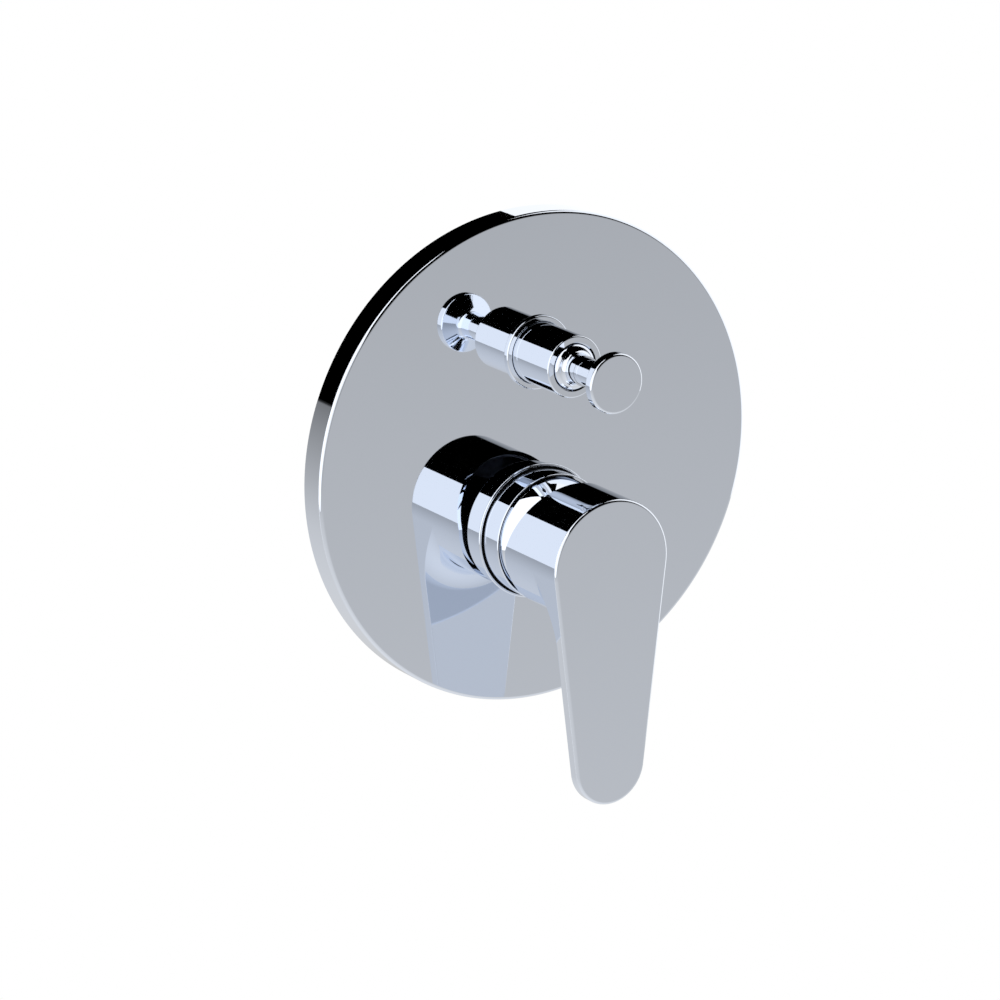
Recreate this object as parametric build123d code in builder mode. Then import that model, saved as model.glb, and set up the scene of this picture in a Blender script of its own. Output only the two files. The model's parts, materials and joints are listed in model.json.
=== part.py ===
"""Concealed single-lever shower mixer with a pull diverter.

Sizes are in millimetres. The wall is the plane y = 0 and the front of the mixer looks along -Y, with +Z up.
The origin is the cover plate's centre on the wall. What lies at y > 0 is inside the wall.
"""
import os
from math import cos, radians, sin, sqrt

from build123d import *

# Cover plate
plate_radius = 85.0
plate_depth = 10.5
plate_wall = 1.6
plate_edge_radius = 1.2
plate_rim_gap = 0.3
gasket_width = 4.0
lip_root = 0.5
collar_lip_width = 1.0
collar_lip_height = 0.5
collar_lip_edge_radius = 0.45
sleeve_lip_width = 1.5
sleeve_lip_height = 1.2
sleeve_lip_edge_radius = 0.55
lever_axis_z = -25.6
diverter_axis_z = 37.0

# Cartridge, from the floor of its chamber towards the front
cartridge_radius = 17.5
chamber_clearance = 0.1
chamber_floor_y = 18.0
base_thickness = 3.5
fixed_disc_thickness = 4.0
disc_gap = 0.02
moving_disc_thickness = 3.0
moving_disc_radius = 10.4
moving_disc_offset = 1.8
carrier_thickness = 7.0
carrier_width = 14.0
carrier_above = 10.5
carrier_below = 7.0
carrier_clearance = 0.15
carrier_floor = 0.5
rotor_web = 2.1
rotor_radius = 12.5
rotor_flange_radius = 15.3
flange_clearance = 0.3
running_clearance = 0.06
end_clearance = 0.2
housing_front_wall = 2.0
housing_neck_wall = 1.4
housing_neck_length = 12.0
rotor_nose = 0.5
pivot_depth = 5.9
nut_step = 0.9
nut_height = 5.5
nut_bore_clearance = 0.2
nut_stand = 0.5
nut_notch_width = 4.0
nut_notch_depth = 2.5
o_ring_section = 1.8
port_seal_radius = 4.2
port_radius = 3.0
inlet_port_x = 7.5
inlet_port_z = 5.0
mixed_port_z = -8.0

# Cartridge spindle
spindle_square = 8.0
spindle_eye_radius = 5.0
pin_radius = 1.5
pin_length = 24.0
pin_clearance = 0.05
tongue_arm = 14.0
tongue_radius = 3.1
tongue_neck = 4.4
tongue_clearance = 0.12
slot_half_length = 8.3

# Collar and lever
tower_wall = 1.1
collar_wall = 2.5
collar_reach = 9.7
collar_edge_radius = 0.45
collar_overlap = 15.0
collar_rim = 0.6
collar_groove_depth = 0.8
collar_seal_width = 0.4
seal_recess = 0.35
dome_radius = 22.65
dome_wall = 1.6
dome_mouth_angle = 47.0
hub_step = 0.2
hub_gap = 4.8
hub_length = 31.2
hub_slant = 8.4
hub_mouth_wall = 1.3
hub_mouth_depth = 9.4
hub_wall = 2.4
hub_face = 6.5
boss_radius = 9.0
boss_length = 20.0
socket_depth = 16.0
lever_reach = 84.5
lever_tip_radius = 13.45
paddle_thickness = 4.4
web_radius = 10.0
lever_edge_radius = 1.0
set_screw_radius = 2.5
set_screw_setback = 4.0
set_screw_recess = 0.5
screw_hole_radius = 2.8
cap_thickness = 1.8
cap_recess = 0.4

# Diverter, outside
stem_radius = 4.55
stem_clearance = 0.05
sleeve_radius = 10.65
sleeve_bore = 8.4
sleeve_reach = 22.8
sleeve_edge_radius = 0.55
sleeve_seal_width = 0.6
flare_gap = 0.4
flare_land = 3.3
flare_edge_radius = 2.4
flare_height = 3.2
flare_root_radius = 7.0
neck_wall = 0.55
neck_reach = 6.2
bush_length = 15.3
knob_reach = 25.2
knob_radius = 10.25
knob_rim = 3.5
knob_edge_radius = 0.9
knob_rear_radius = 0.7
knob_cone = 2.6
knob_root_radius = 2.2
stem_tail = 13.3
knob_hole_depth = 26.0

# Diverter, inside
spindle_radius = 3.0
spindle_clearance = 0.05
spindle_tail = 1.5
diverter_tower_radius = 13.0
diverter_front_y = 2.0
bonnet_step = 1.0
bonnet_screw_in = 10.0
bonnet_nose = 8.0
bonnet_web = 0.5
cage_length = 8.0
cage_wall = 1.2
cage_window_radius = 2.6
seat_radius = 5.5
seat_thickness = 2.0
gland_radius = 4.6
gland_width = 2.0
gland_setback = 3.0
piston_travel = 10.0
seat_gap = 0.05
washer_thickness = 1.8
piston_thickness = 2.4
piston_radius = 7.4
washer_radius = 7.0
piston_play = 0.6
rear_chamber_length = 7.5
rear_wall = 2.5

# Valve body ports and lugs
inlet_y = 29.0
inlet_reach = 52.0
inlet_bore = 6.5
inlet_web = 6.0
inlet_tube_radius = 9.5
thread_radius = 9.316
thread_length = 14.0
socket_radius = 12.2
socket_length = 16.0
top_reach = 25.0
bottom_reach = 50.0
bottom_y = 33.5
passage_radius = 3.5
return_radius = 3.0
bottom_pocket = 6.0
return_y = 39.5
column_width = 19.0
column_front_y = 19.0
column_corner = 5.0
tower_root_radius = 22.5
tower_root_depth = 3.0
lug_spacing = 56.0
lug_width = 14.0
lug_thickness = 5.0
lug_height = 6.0
lug_hole_radius = 2.75

# Places that follow from the sizes
face_y = -plate_depth
plate_back_y = face_y + plate_wall
collar_lip_y = face_y - collar_lip_height
sleeve_lip_y = face_y - sleeve_lip_height

chamber_radius = cartridge_radius + chamber_clearance
nut_radius = chamber_radius + nut_step
tower_radius = nut_radius + tower_wall
collar_radius = tower_radius + collar_wall
collar_hole = collar_radius + collar_seal_width
hub_radius = collar_radius + hub_step

base_y = chamber_floor_y - base_thickness
fixed_y = base_y - fixed_disc_thickness
moving_rear_y = fixed_y - disc_gap
moving_y = moving_rear_y - moving_disc_thickness
carrier_y = moving_y - carrier_thickness
channel_y = carrier_y - end_clearance
flange_y = channel_y - rotor_web
housing_step_y = flange_y - end_clearance
shoulder_y = housing_step_y - housing_front_wall
neck_y = shoulder_y - housing_neck_length
rotor_y = neck_y - rotor_nose
pivot_y = rotor_y + pivot_depth
nut_y = shoulder_y - nut_height
tower_y = nut_y + nut_stand
housing_bore = rotor_flange_radius + flange_clearance
neck_bore = rotor_radius + running_clearance
neck_radius = neck_bore + housing_neck_wall
tongue_y = pivot_y + tongue_arm

collar_y = face_y - collar_reach
collar_rear_y = tower_y + collar_overlap
hub_rear_y = collar_y - hub_gap
lever_y = hub_rear_y - hub_length
paddle_back_y = lever_y + paddle_thickness
cavity_y = lever_y + hub_face
boss_y = cavity_y + boss_length
socket_y = boss_y - socket_depth
set_screw_y = boss_y - set_screw_setback
tip_centre_z = lever_axis_z - lever_reach + lever_tip_radius

sleeve_y = face_y - sleeve_reach
sleeve_hole = sleeve_radius + sleeve_seal_width
flare_radius = sleeve_bore - flare_gap
bush_bore = stem_radius + stem_clearance
neck_ring = bush_bore + neck_wall
bush_rear_y = sleeve_y + bush_length
knob_y = sleeve_y - knob_reach
knob_rim_y = knob_y + knob_rim
stem_rear_y = sleeve_y + stem_tail
knob_hole_y = stem_rear_y - knob_hole_depth

bonnet_radius = sleeve_bore + bonnet_step
bonnet_front_y = diverter_front_y - bonnet_nose
bonnet_rear_y = diverter_front_y + bonnet_screw_in
cage_y = bonnet_rear_y + cage_length
piston_bore = piston_radius + piston_play
front_washer_y = cage_y + piston_travel
piston_y = front_washer_y + washer_thickness
rear_washer_y = piston_y + piston_thickness
rear_seat_y = rear_washer_y + washer_thickness + seat_gap
chamber_end_y = rear_seat_y + rear_chamber_length
body_rear_y = chamber_end_y + rear_wall
window_y = (bonnet_rear_y + cage_y - seat_thickness) / 2
mixed_y = front_washer_y - passage_radius + seat_gap
gland_y = bonnet_rear_y - gland_setback - gland_width / 2
spindle_rear_y = rear_washer_y + washer_thickness + spindle_tail

lever_axis = Axis((0, 0, lever_axis_z), (0, 1, 0))
os.makedirs("parts", exist_ok=True)


def turned(outline, height):
    """Solid of revolution about the line along Y at a height. A corner is (radius, y) or (radius, y, fillet)."""
    with BuildPart() as body:
        with BuildSketch(Plane.XY.offset(height)) as profile:
            with BuildLine():
                Polyline(*[(corner[0], corner[1]) for corner in outline], close=True)
            make_face()
            for corner in outline:
                if len(corner) == 3:
                    near = profile.vertices().sort_by_distance((corner[0], corner[1], 0))[0]
                    fillet(near, radius=corner[2])
        revolve(axis=Axis((0, 0, height), (0, 1, 0)))
    return body.part


def ring(outer, inner, front, rear, height):
    """Plain ring about the line along Y at a height."""
    return turned([(inner, front), (outer, front), (outer, rear), (inner, rear)], height)


def o_ring(middle, section, y, height):
    """Ring of round section about the line along Y at a height."""
    with BuildPart() as body:
        with BuildSketch(Plane.XY.offset(height)):
            with Locations((middle, y)):
                Circle(section / 2)
        revolve(axis=Axis((0, 0, height), (0, 1, 0)))
    return body.part


def rod(radius, start, direction, length):
    """Round bar from a point along a direction."""
    with BuildPart() as body:
        with BuildSketch(Plane(origin=start, z_dir=direction)):
            Circle(radius)
        extrude(amount=length)
    return body.part


def front_plane(y):
    """Plane across the mixer at a depth, looking out of the wall."""
    return Plane.XZ.offset(-y)


# Cover plate: a dished disc, with a lip drawn up around each hole
with BuildPart() as cover_plate:
    add(turned([
        (0, face_y),
        (plate_radius, face_y, plate_edge_radius),
        (plate_radius, -plate_rim_gap),
        (plate_radius - plate_wall, -plate_rim_gap),
        (plate_radius - plate_wall, plate_back_y),
        (0, plate_back_y),
    ], 0))
    for hole, height, width, lip_y, edge_radius in (
        (collar_hole, lever_axis_z, collar_lip_width, collar_lip_y, collar_lip_edge_radius),
        (sleeve_hole, diverter_axis_z, sleeve_lip_width, sleeve_lip_y, sleeve_lip_edge_radius),
    ):
        add(turned([
            (hole, lip_y, edge_radius),
            (hole + width, lip_y, edge_radius),
            (hole + width, face_y + lip_root),
            (hole, face_y + lip_root),
        ], height))
        with BuildSketch(front_plane(plate_back_y)):
            with Locations((0, height)):
                Circle(hole)
        extrude(amount=plate_back_y - lip_y, mode=Mode.SUBTRACT)
cover_plate.part.label = "cover_plate"
export_step(cover_plate.part, "parts/cover_plate.step")

with BuildPart() as plate_gasket:
    rim_inside = plate_radius - plate_wall
    add(ring(rim_inside, rim_inside - gasket_width, plate_back_y, 0, 0))
plate_gasket.part.label = "plate_gasket"
export_step(plate_gasket.part, "parts/plate_gasket.step")

# Collar over the cartridge's tower, and the rubber ring that grips it in the plate. Its front is a dome
# around the lever's pivot, which the tilting hub slides over with a small gap.
dome_inside = dome_radius - dome_wall
mouth_out, mouth_in = [
    (size * sin(radians(dome_mouth_angle)), pivot_y - size * cos(radians(dome_mouth_angle)))
    for size in (dome_radius, dome_inside)
]
groove_floor_y = collar_y + collar_groove_depth
dome_foot = (sqrt(dome_radius**2 - (pivot_y - groove_floor_y) ** 2), groove_floor_y)
dome_root = (tower_radius, pivot_y - sqrt(dome_inside**2 - tower_radius**2))
with BuildPart() as cartridge_sleeve:
    with BuildSketch(Plane.XY.offset(lever_axis_z)) as collar_profile:
        with BuildLine():
            Polyline(
                dome_foot,
                (collar_radius - collar_rim, groove_floor_y),
                (collar_radius - collar_rim, collar_y),
                (collar_radius, collar_y),
                (collar_radius, collar_rear_y),
                (tower_radius, collar_rear_y),
                dome_root,
            )
            RadiusArc(dome_root, mouth_in, dome_inside)
            Line(mouth_in, mouth_out)
            RadiusArc(mouth_out, dome_foot, -dome_radius)
        make_face()
        fillet(collar_profile.vertices().sort_by_distance((collar_radius, collar_y, 0))[0],
               radius=collar_edge_radius)
    revolve(axis=lever_axis)
cartridge_sleeve.part.label = "cartridge_sleeve"
export_step(cartridge_sleeve.part, "parts/cartridge_sleeve.step")

with BuildPart() as cartridge_sleeve_seal:
    add(ring(collar_hole, collar_radius, collar_lip_y + seal_recess, plate_back_y, lever_axis_z))
cartridge_sleeve_seal.part.label = "cartridge_sleeve_seal"
export_step(cartridge_sleeve_seal.part, "parts/cartridge_sleeve_seal.step")

# Lever: hollow hub, tapered paddle, and the concave web behind it, trimmed by the paddle's own outline
with BuildPart() as lever:
    with BuildSketch(front_plane(lever_y)) as paddle_outline:
        with Locations((0, lever_axis_z)):
            Circle(hub_radius)
        with Locations((0, tip_centre_z)):
            Circle(lever_tip_radius)
        make_hull()
    extrude(amount=-paddle_thickness)
    add(turned([
        (0, lever_y),
        (hub_radius, lever_y),
        (hub_radius, hub_rear_y),
        (0, hub_rear_y),
    ], lever_axis_z))
    fillet(lever.faces().sort_by(Axis.Y)[0].edges(), radius=lever_edge_radius)
    # The hub's rear end leans forward over its upper half, so that it clears the collar as the lever tilts
    with BuildSketch(Plane.YZ.offset(-hub_radius - hub_gap)):
        with BuildLine():
            Polyline(
                (hub_rear_y, lever_axis_z),
                (hub_rear_y - 2 * hub_slant, lever_axis_z + 2 * hub_radius),
                (hub_rear_y + hub_gap, lever_axis_z + 2 * hub_radius),
                (hub_rear_y + hub_gap, lever_axis_z),
                close=True,
            )
        make_face()
    extrude(amount=2 * (hub_radius + hub_gap), mode=Mode.SUBTRACT)
    with BuildPart(mode=Mode.PRIVATE) as web:
        with BuildSketch(Plane.XY.offset(lever_axis_z)):
            with BuildLine():
                Polyline(
                    (hub_radius, paddle_back_y + web_radius),
                    (hub_radius - hub_wall, paddle_back_y + web_radius),
                    (hub_radius - hub_wall, paddle_back_y - paddle_thickness / 2),
                    (hub_radius + web_radius, paddle_back_y - paddle_thickness / 2),
                    (hub_radius + web_radius, paddle_back_y),
                )
                RadiusArc(
                    (hub_radius + web_radius, paddle_back_y),
                    (hub_radius, paddle_back_y + web_radius),
                    web_radius,
                )
            make_face()
        revolve(axis=lever_axis)
        extrude(paddle_outline.sketch, amount=-(paddle_thickness + web_radius), mode=Mode.INTERSECT)
    add(web.part)
    add(turned([
        (0, hub_rear_y),
        (hub_radius - hub_mouth_wall, hub_rear_y),
        (hub_radius - hub_mouth_wall, hub_rear_y - hub_mouth_depth),
        (hub_radius - hub_wall, hub_rear_y - hub_mouth_depth),
        (hub_radius - hub_wall, cavity_y),
        (boss_radius, cavity_y),
        (boss_radius, boss_y),
        (0, boss_y),
    ], lever_axis_z), mode=Mode.SUBTRACT)
    with BuildSketch(front_plane(socket_y)):
        with Locations((0, lever_axis_z)):
            Rectangle(spindle_square, spindle_square)
    extrude(amount=-socket_depth, mode=Mode.SUBTRACT)
    down = (0, 0, -1)
    add(rod(set_screw_radius, (0, set_screw_y, lever_axis_z), down, boss_radius), mode=Mode.SUBTRACT)
    hole_start = (0, set_screw_y, lever_axis_z - boss_radius)
    add(rod(screw_hole_radius, hole_start, down, hub_radius), mode=Mode.SUBTRACT)
lever.part.label = "lever"
export_step(lever.part, "parts/lever.step")

with BuildPart() as lever_set_screw:
    screw_end = (0, set_screw_y, lever_axis_z - spindle_square / 2)
    add(rod(set_screw_radius, screw_end, down, boss_radius - spindle_square / 2 - set_screw_recess))
lever_set_screw.part.label = "lever_set_screw"
export_step(lever_set_screw.part, "parts/lever_set_screw.step")

with BuildPart() as set_screw_cap:
    cap_end = (0, set_screw_y, lever_axis_z - hub_radius + cap_recess + cap_thickness)
    add(rod(screw_hole_radius, cap_end, down, cap_thickness))
set_screw_cap.part.label = "set_screw_cap"
export_step(set_screw_cap.part, "parts/set_screw_cap.step")

# Cartridge
with BuildPart() as cartridge_housing:
    add(turned([
        (neck_bore, neck_y),
        (neck_radius, neck_y),
        (neck_radius, shoulder_y),
        (cartridge_radius, shoulder_y),
        (cartridge_radius, base_y),
        (housing_bore, base_y),
        (housing_bore, housing_step_y),
        (neck_bore, housing_step_y),
    ], lever_axis_z))
cartridge_housing.part.label = "cartridge_housing"
export_step(cartridge_housing.part, "parts/cartridge_housing.step")

groove_radius = chamber_radius - o_ring_section
groove_half = o_ring_section / 2 + disc_gap
groove_y = (base_y + chamber_floor_y) / 2
ports = ((-inlet_port_x, inlet_port_z), (inlet_port_x, inlet_port_z), (0, mixed_port_z))
with BuildPart() as cartridge_base:
    add(turned([
        (0, base_y),
        (cartridge_radius, base_y),
        (cartridge_radius, groove_y - groove_half),
        (groove_radius, groove_y - groove_half),
        (groove_radius, groove_y + groove_half),
        (cartridge_radius, groove_y + groove_half),
        (cartridge_radius, chamber_floor_y),
        (0, chamber_floor_y),
    ], lever_axis_z))
    with BuildSketch(front_plane(chamber_floor_y)):
        for x, z in ports:
            with Locations((x, lever_axis_z + z)):
                Circle(port_seal_radius)
    extrude(amount=base_thickness, mode=Mode.SUBTRACT)
cartridge_base.part.label = "cartridge_base"
export_step(cartridge_base.part, "parts/cartridge_base.step")

with BuildPart() as cartridge_o_ring:
    add(o_ring(chamber_radius - o_ring_section / 2, o_ring_section, groove_y, lever_axis_z))
cartridge_o_ring.part.label = "cartridge_o_ring"
export_step(cartridge_o_ring.part, "parts/cartridge_o_ring.step")

for name, (x, z) in zip(("hot_port_seal", "cold_port_seal", "mixed_port_seal"), ports):
    with BuildPart() as port_seal:
        with BuildSketch(front_plane(chamber_floor_y)):
            with Locations((x, lever_axis_z + z)):
                Circle(port_seal_radius)
                Circle(port_radius, mode=Mode.SUBTRACT)
        extrude(amount=base_thickness)
    port_seal.part.label = name
    export_step(port_seal.part, f"parts/{name}.step")

with BuildPart() as fixed_disc:
    with BuildSketch(front_plane(base_y)):
        with Locations((0, lever_axis_z)):
            Circle(housing_bore)
        for x, z in ports:
            with Locations((x, lever_axis_z + z)):
                Circle(port_radius, mode=Mode.SUBTRACT)
    extrude(amount=fixed_disc_thickness)
fixed_disc.part.label = "fixed_disc"
export_step(fixed_disc.part, "parts/fixed_disc.step")

with BuildPart() as moving_disc:
    disc_z = lever_axis_z + moving_disc_offset
    with BuildSketch(front_plane(moving_rear_y)):
        with Locations((0, disc_z)):
            Circle(moving_disc_radius)
    extrude(amount=moving_disc_thickness)
    with BuildSketch(front_plane(moving_rear_y)):
        with Locations((0, disc_z)):
            SlotOverall(moving_disc_radius * 1.5, moving_disc_radius, rotation=90)
    extrude(amount=moving_disc_thickness / 2, mode=Mode.SUBTRACT)
moving_disc.part.label = "moving_disc"
export_step(moving_disc.part, "parts/moving_disc.step")

pocket_width = spindle_square + 2 * carrier_clearance
with BuildPart() as disc_carrier:
    with BuildSketch(front_plane(moving_y)):
        with Locations((0, lever_axis_z + (carrier_above - carrier_below) / 2)):
            Rectangle(carrier_width, carrier_above + carrier_below)
    extrude(amount=carrier_thickness)
    with BuildSketch(front_plane(moving_y - carrier_floor)):
        with Locations((0, lever_axis_z)):
            Rectangle(pocket_width, 2 * (tongue_radius + tongue_clearance))
    extrude(amount=carrier_thickness - carrier_floor, mode=Mode.SUBTRACT)
disc_carrier.part.label = "disc_carrier"
export_step(disc_carrier.part, "parts/disc_carrier.step")

rotor_rear_y = moving_y - end_clearance
with BuildPart() as cartridge_rotor:
    add(turned([
        (0, rotor_y),
        (rotor_radius, rotor_y),
        (rotor_radius, flange_y),
        (rotor_flange_radius, flange_y),
        (rotor_flange_radius, rotor_rear_y),
        (0, rotor_rear_y),
    ], lever_axis_z))
    with BuildSketch(front_plane(rotor_rear_y)):
        with Locations((0, lever_axis_z)):
            Rectangle(carrier_width + 2 * carrier_clearance, 2 * rotor_flange_radius)
    extrude(amount=rotor_rear_y - channel_y, mode=Mode.SUBTRACT)
    with BuildSketch(front_plane(channel_y)):
        with Locations((0, lever_axis_z)):
            Rectangle(pocket_width, 2 * slot_half_length)
    extrude(amount=channel_y - rotor_y, mode=Mode.SUBTRACT)
    pin_start = (-pin_length / 2, pivot_y, lever_axis_z)
    add(rod(pin_radius, pin_start, (1, 0, 0), pin_length), mode=Mode.SUBTRACT)
cartridge_rotor.part.label = "cartridge_rotor"
export_step(cartridge_rotor.part, "parts/cartridge_rotor.step")

with BuildPart() as cartridge_pin:
    add(rod(pin_radius, pin_start, (1, 0, 0), pin_length))
cartridge_pin.part.label = "cartridge_pin"
export_step(cartridge_pin.part, "parts/cartridge_pin.step")

# Spindle: drawn from the side, so that its eye and its tongue are one outline
with BuildPart() as cartridge_spindle:
    with BuildSketch(Plane.YZ.offset(-spindle_square / 2)):
        with Locations(((socket_y + pivot_y) / 2, lever_axis_z)):
            Rectangle(pivot_y - socket_y, spindle_square)
        with Locations((pivot_y, lever_axis_z)):
            Circle(spindle_eye_radius)
        with Locations((pivot_y + tongue_arm / 2, lever_axis_z)):
            Rectangle(tongue_arm, tongue_neck)
        with Locations((tongue_y, lever_axis_z)):
            Circle(tongue_radius)
        with Locations((pivot_y, lever_axis_z)):
            Circle(pin_radius + pin_clearance, mode=Mode.SUBTRACT)
    extrude(amount=spindle_square)
cartridge_spindle.part.label = "cartridge_spindle"
export_step(cartridge_spindle.part, "parts/cartridge_spindle.step")

with BuildPart() as cartridge_nut:
    add(ring(nut_radius, neck_radius + nut_bore_clearance, nut_y, shoulder_y, lever_axis_z))
    with BuildSketch(front_plane(nut_y)):
        with Locations((0, lever_axis_z)):
            with PolarLocations(nut_radius, 4, start_angle=45):
                Rectangle(nut_notch_depth * 2, nut_notch_width)
    extrude(amount=-nut_notch_depth, mode=Mode.SUBTRACT)
cartridge_nut.part.label = "cartridge_nut"
export_step(cartridge_nut.part, "parts/cartridge_nut.step")

# Diverter, from the knob inwards
with BuildPart() as diverter_knob:
    add(turned([
        (0, knob_y),
        (knob_radius, knob_y, knob_edge_radius),
        (knob_radius, knob_rim_y, knob_rear_radius),
        (stem_radius, knob_rim_y + knob_cone, knob_root_radius),
        (stem_radius, stem_rear_y),
        (spindle_radius, stem_rear_y),
        (spindle_radius, knob_hole_y),
        (0, knob_hole_y),
    ], diverter_axis_z))
diverter_knob.part.label = "diverter_knob"
export_step(diverter_knob.part, "parts/diverter_knob.step")

with BuildPart() as diverter_bush:
    add(turned([
        (bush_bore, sleeve_y - neck_reach),
        (neck_ring, sleeve_y - neck_reach),
        (neck_ring, sleeve_y - flare_height, flare_root_radius),
        (flare_radius, sleeve_y, flare_edge_radius),
        (flare_radius, sleeve_y + flare_land),
        (sleeve_bore, sleeve_y + flare_land),
        (sleeve_bore, bush_rear_y),
        (bush_bore, bush_rear_y),
    ], diverter_axis_z))
diverter_bush.part.label = "diverter_bush"
export_step(diverter_bush.part, "parts/diverter_bush.step")

with BuildPart() as diverter_sleeve:
    add(turned([
        (sleeve_bore, sleeve_y),
        (sleeve_radius, sleeve_y, sleeve_edge_radius),
        (sleeve_radius, diverter_front_y),
        (sleeve_bore, diverter_front_y),
    ], diverter_axis_z))
diverter_sleeve.part.label = "diverter_sleeve"
export_step(diverter_sleeve.part, "parts/diverter_sleeve.step")

with BuildPart() as diverter_sleeve_seal:
    add(ring(sleeve_hole, sleeve_radius, sleeve_lip_y + seal_recess, plate_back_y, diverter_axis_z))
diverter_sleeve_seal.part.label = "diverter_sleeve_seal"
export_step(diverter_sleeve_seal.part, "parts/diverter_sleeve_seal.step")

with BuildPart() as diverter_spindle:
    add(rod(
        spindle_radius,
        (0, knob_hole_y, diverter_axis_z),
        (0, 1, 0),
        spindle_rear_y - knob_hole_y,
    ))
diverter_spindle.part.label = "diverter_spindle"
export_step(diverter_spindle.part, "parts/diverter_spindle.step")

# Bonnet: guides the spindle, and ends in a windowed cage with the front valve seat
guide_bore = spindle_radius + spindle_clearance
with BuildPart() as diverter_bonnet:
    add(turned([
        (guide_bore, bonnet_front_y),
        (sleeve_bore, bonnet_front_y),
        (sleeve_bore, diverter_front_y),
        (bonnet_radius, diverter_front_y),
        (bonnet_radius, bonnet_rear_y),
        (piston_bore, bonnet_rear_y),
        (piston_bore, cage_y),
        (seat_radius, cage_y),
        (seat_radius, cage_y - seat_thickness),
        (piston_bore - cage_wall, cage_y - seat_thickness),
        (piston_bore - cage_wall, bonnet_rear_y - bonnet_web),
        (guide_bore, bonnet_rear_y - bonnet_web),
        (guide_bore, gland_y + gland_width / 2),
        (gland_radius, gland_y + gland_width / 2),
        (gland_radius, gland_y - gland_width / 2),
        (guide_bore, gland_y - gland_width / 2),
    ], diverter_axis_z))
    for angle in (0, 90, 180, 270):
        way = (cos(radians(angle)), 0, sin(radians(angle)))
        start = (spindle_radius * way[0], window_y, diverter_axis_z + spindle_radius * way[2])
        add(rod(cage_window_radius, start, way, piston_bore), mode=Mode.SUBTRACT)
diverter_bonnet.part.label = "diverter_bonnet"
export_step(diverter_bonnet.part, "parts/diverter_bonnet.step")

gland_section = gland_radius - spindle_radius - spindle_clearance / 2
with BuildPart() as diverter_o_ring:
    add(o_ring(gland_radius - gland_section / 2, gland_section, gland_y, diverter_axis_z))
diverter_o_ring.part.label = "diverter_o_ring"
export_step(diverter_o_ring.part, "parts/diverter_o_ring.step")

with BuildPart() as diverter_front_washer:
    add(ring(washer_radius, spindle_radius, front_washer_y, piston_y, diverter_axis_z))
diverter_front_washer.part.label = "diverter_front_washer"
export_step(diverter_front_washer.part, "parts/diverter_front_washer.step")

with BuildPart() as diverter_piston:
    add(ring(piston_radius, spindle_radius, piston_y, rear_washer_y, diverter_axis_z))
diverter_piston.part.label = "diverter_piston"
export_step(diverter_piston.part, "parts/diverter_piston.step")

with BuildPart() as diverter_rear_washer:
    washer_rear_y = rear_washer_y + washer_thickness
    add(ring(washer_radius, spindle_radius, rear_washer_y, washer_rear_y, diverter_axis_z))
diverter_rear_washer.part.label = "diverter_rear_washer"
export_step(diverter_rear_washer.part, "parts/diverter_rear_washer.step")

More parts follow.
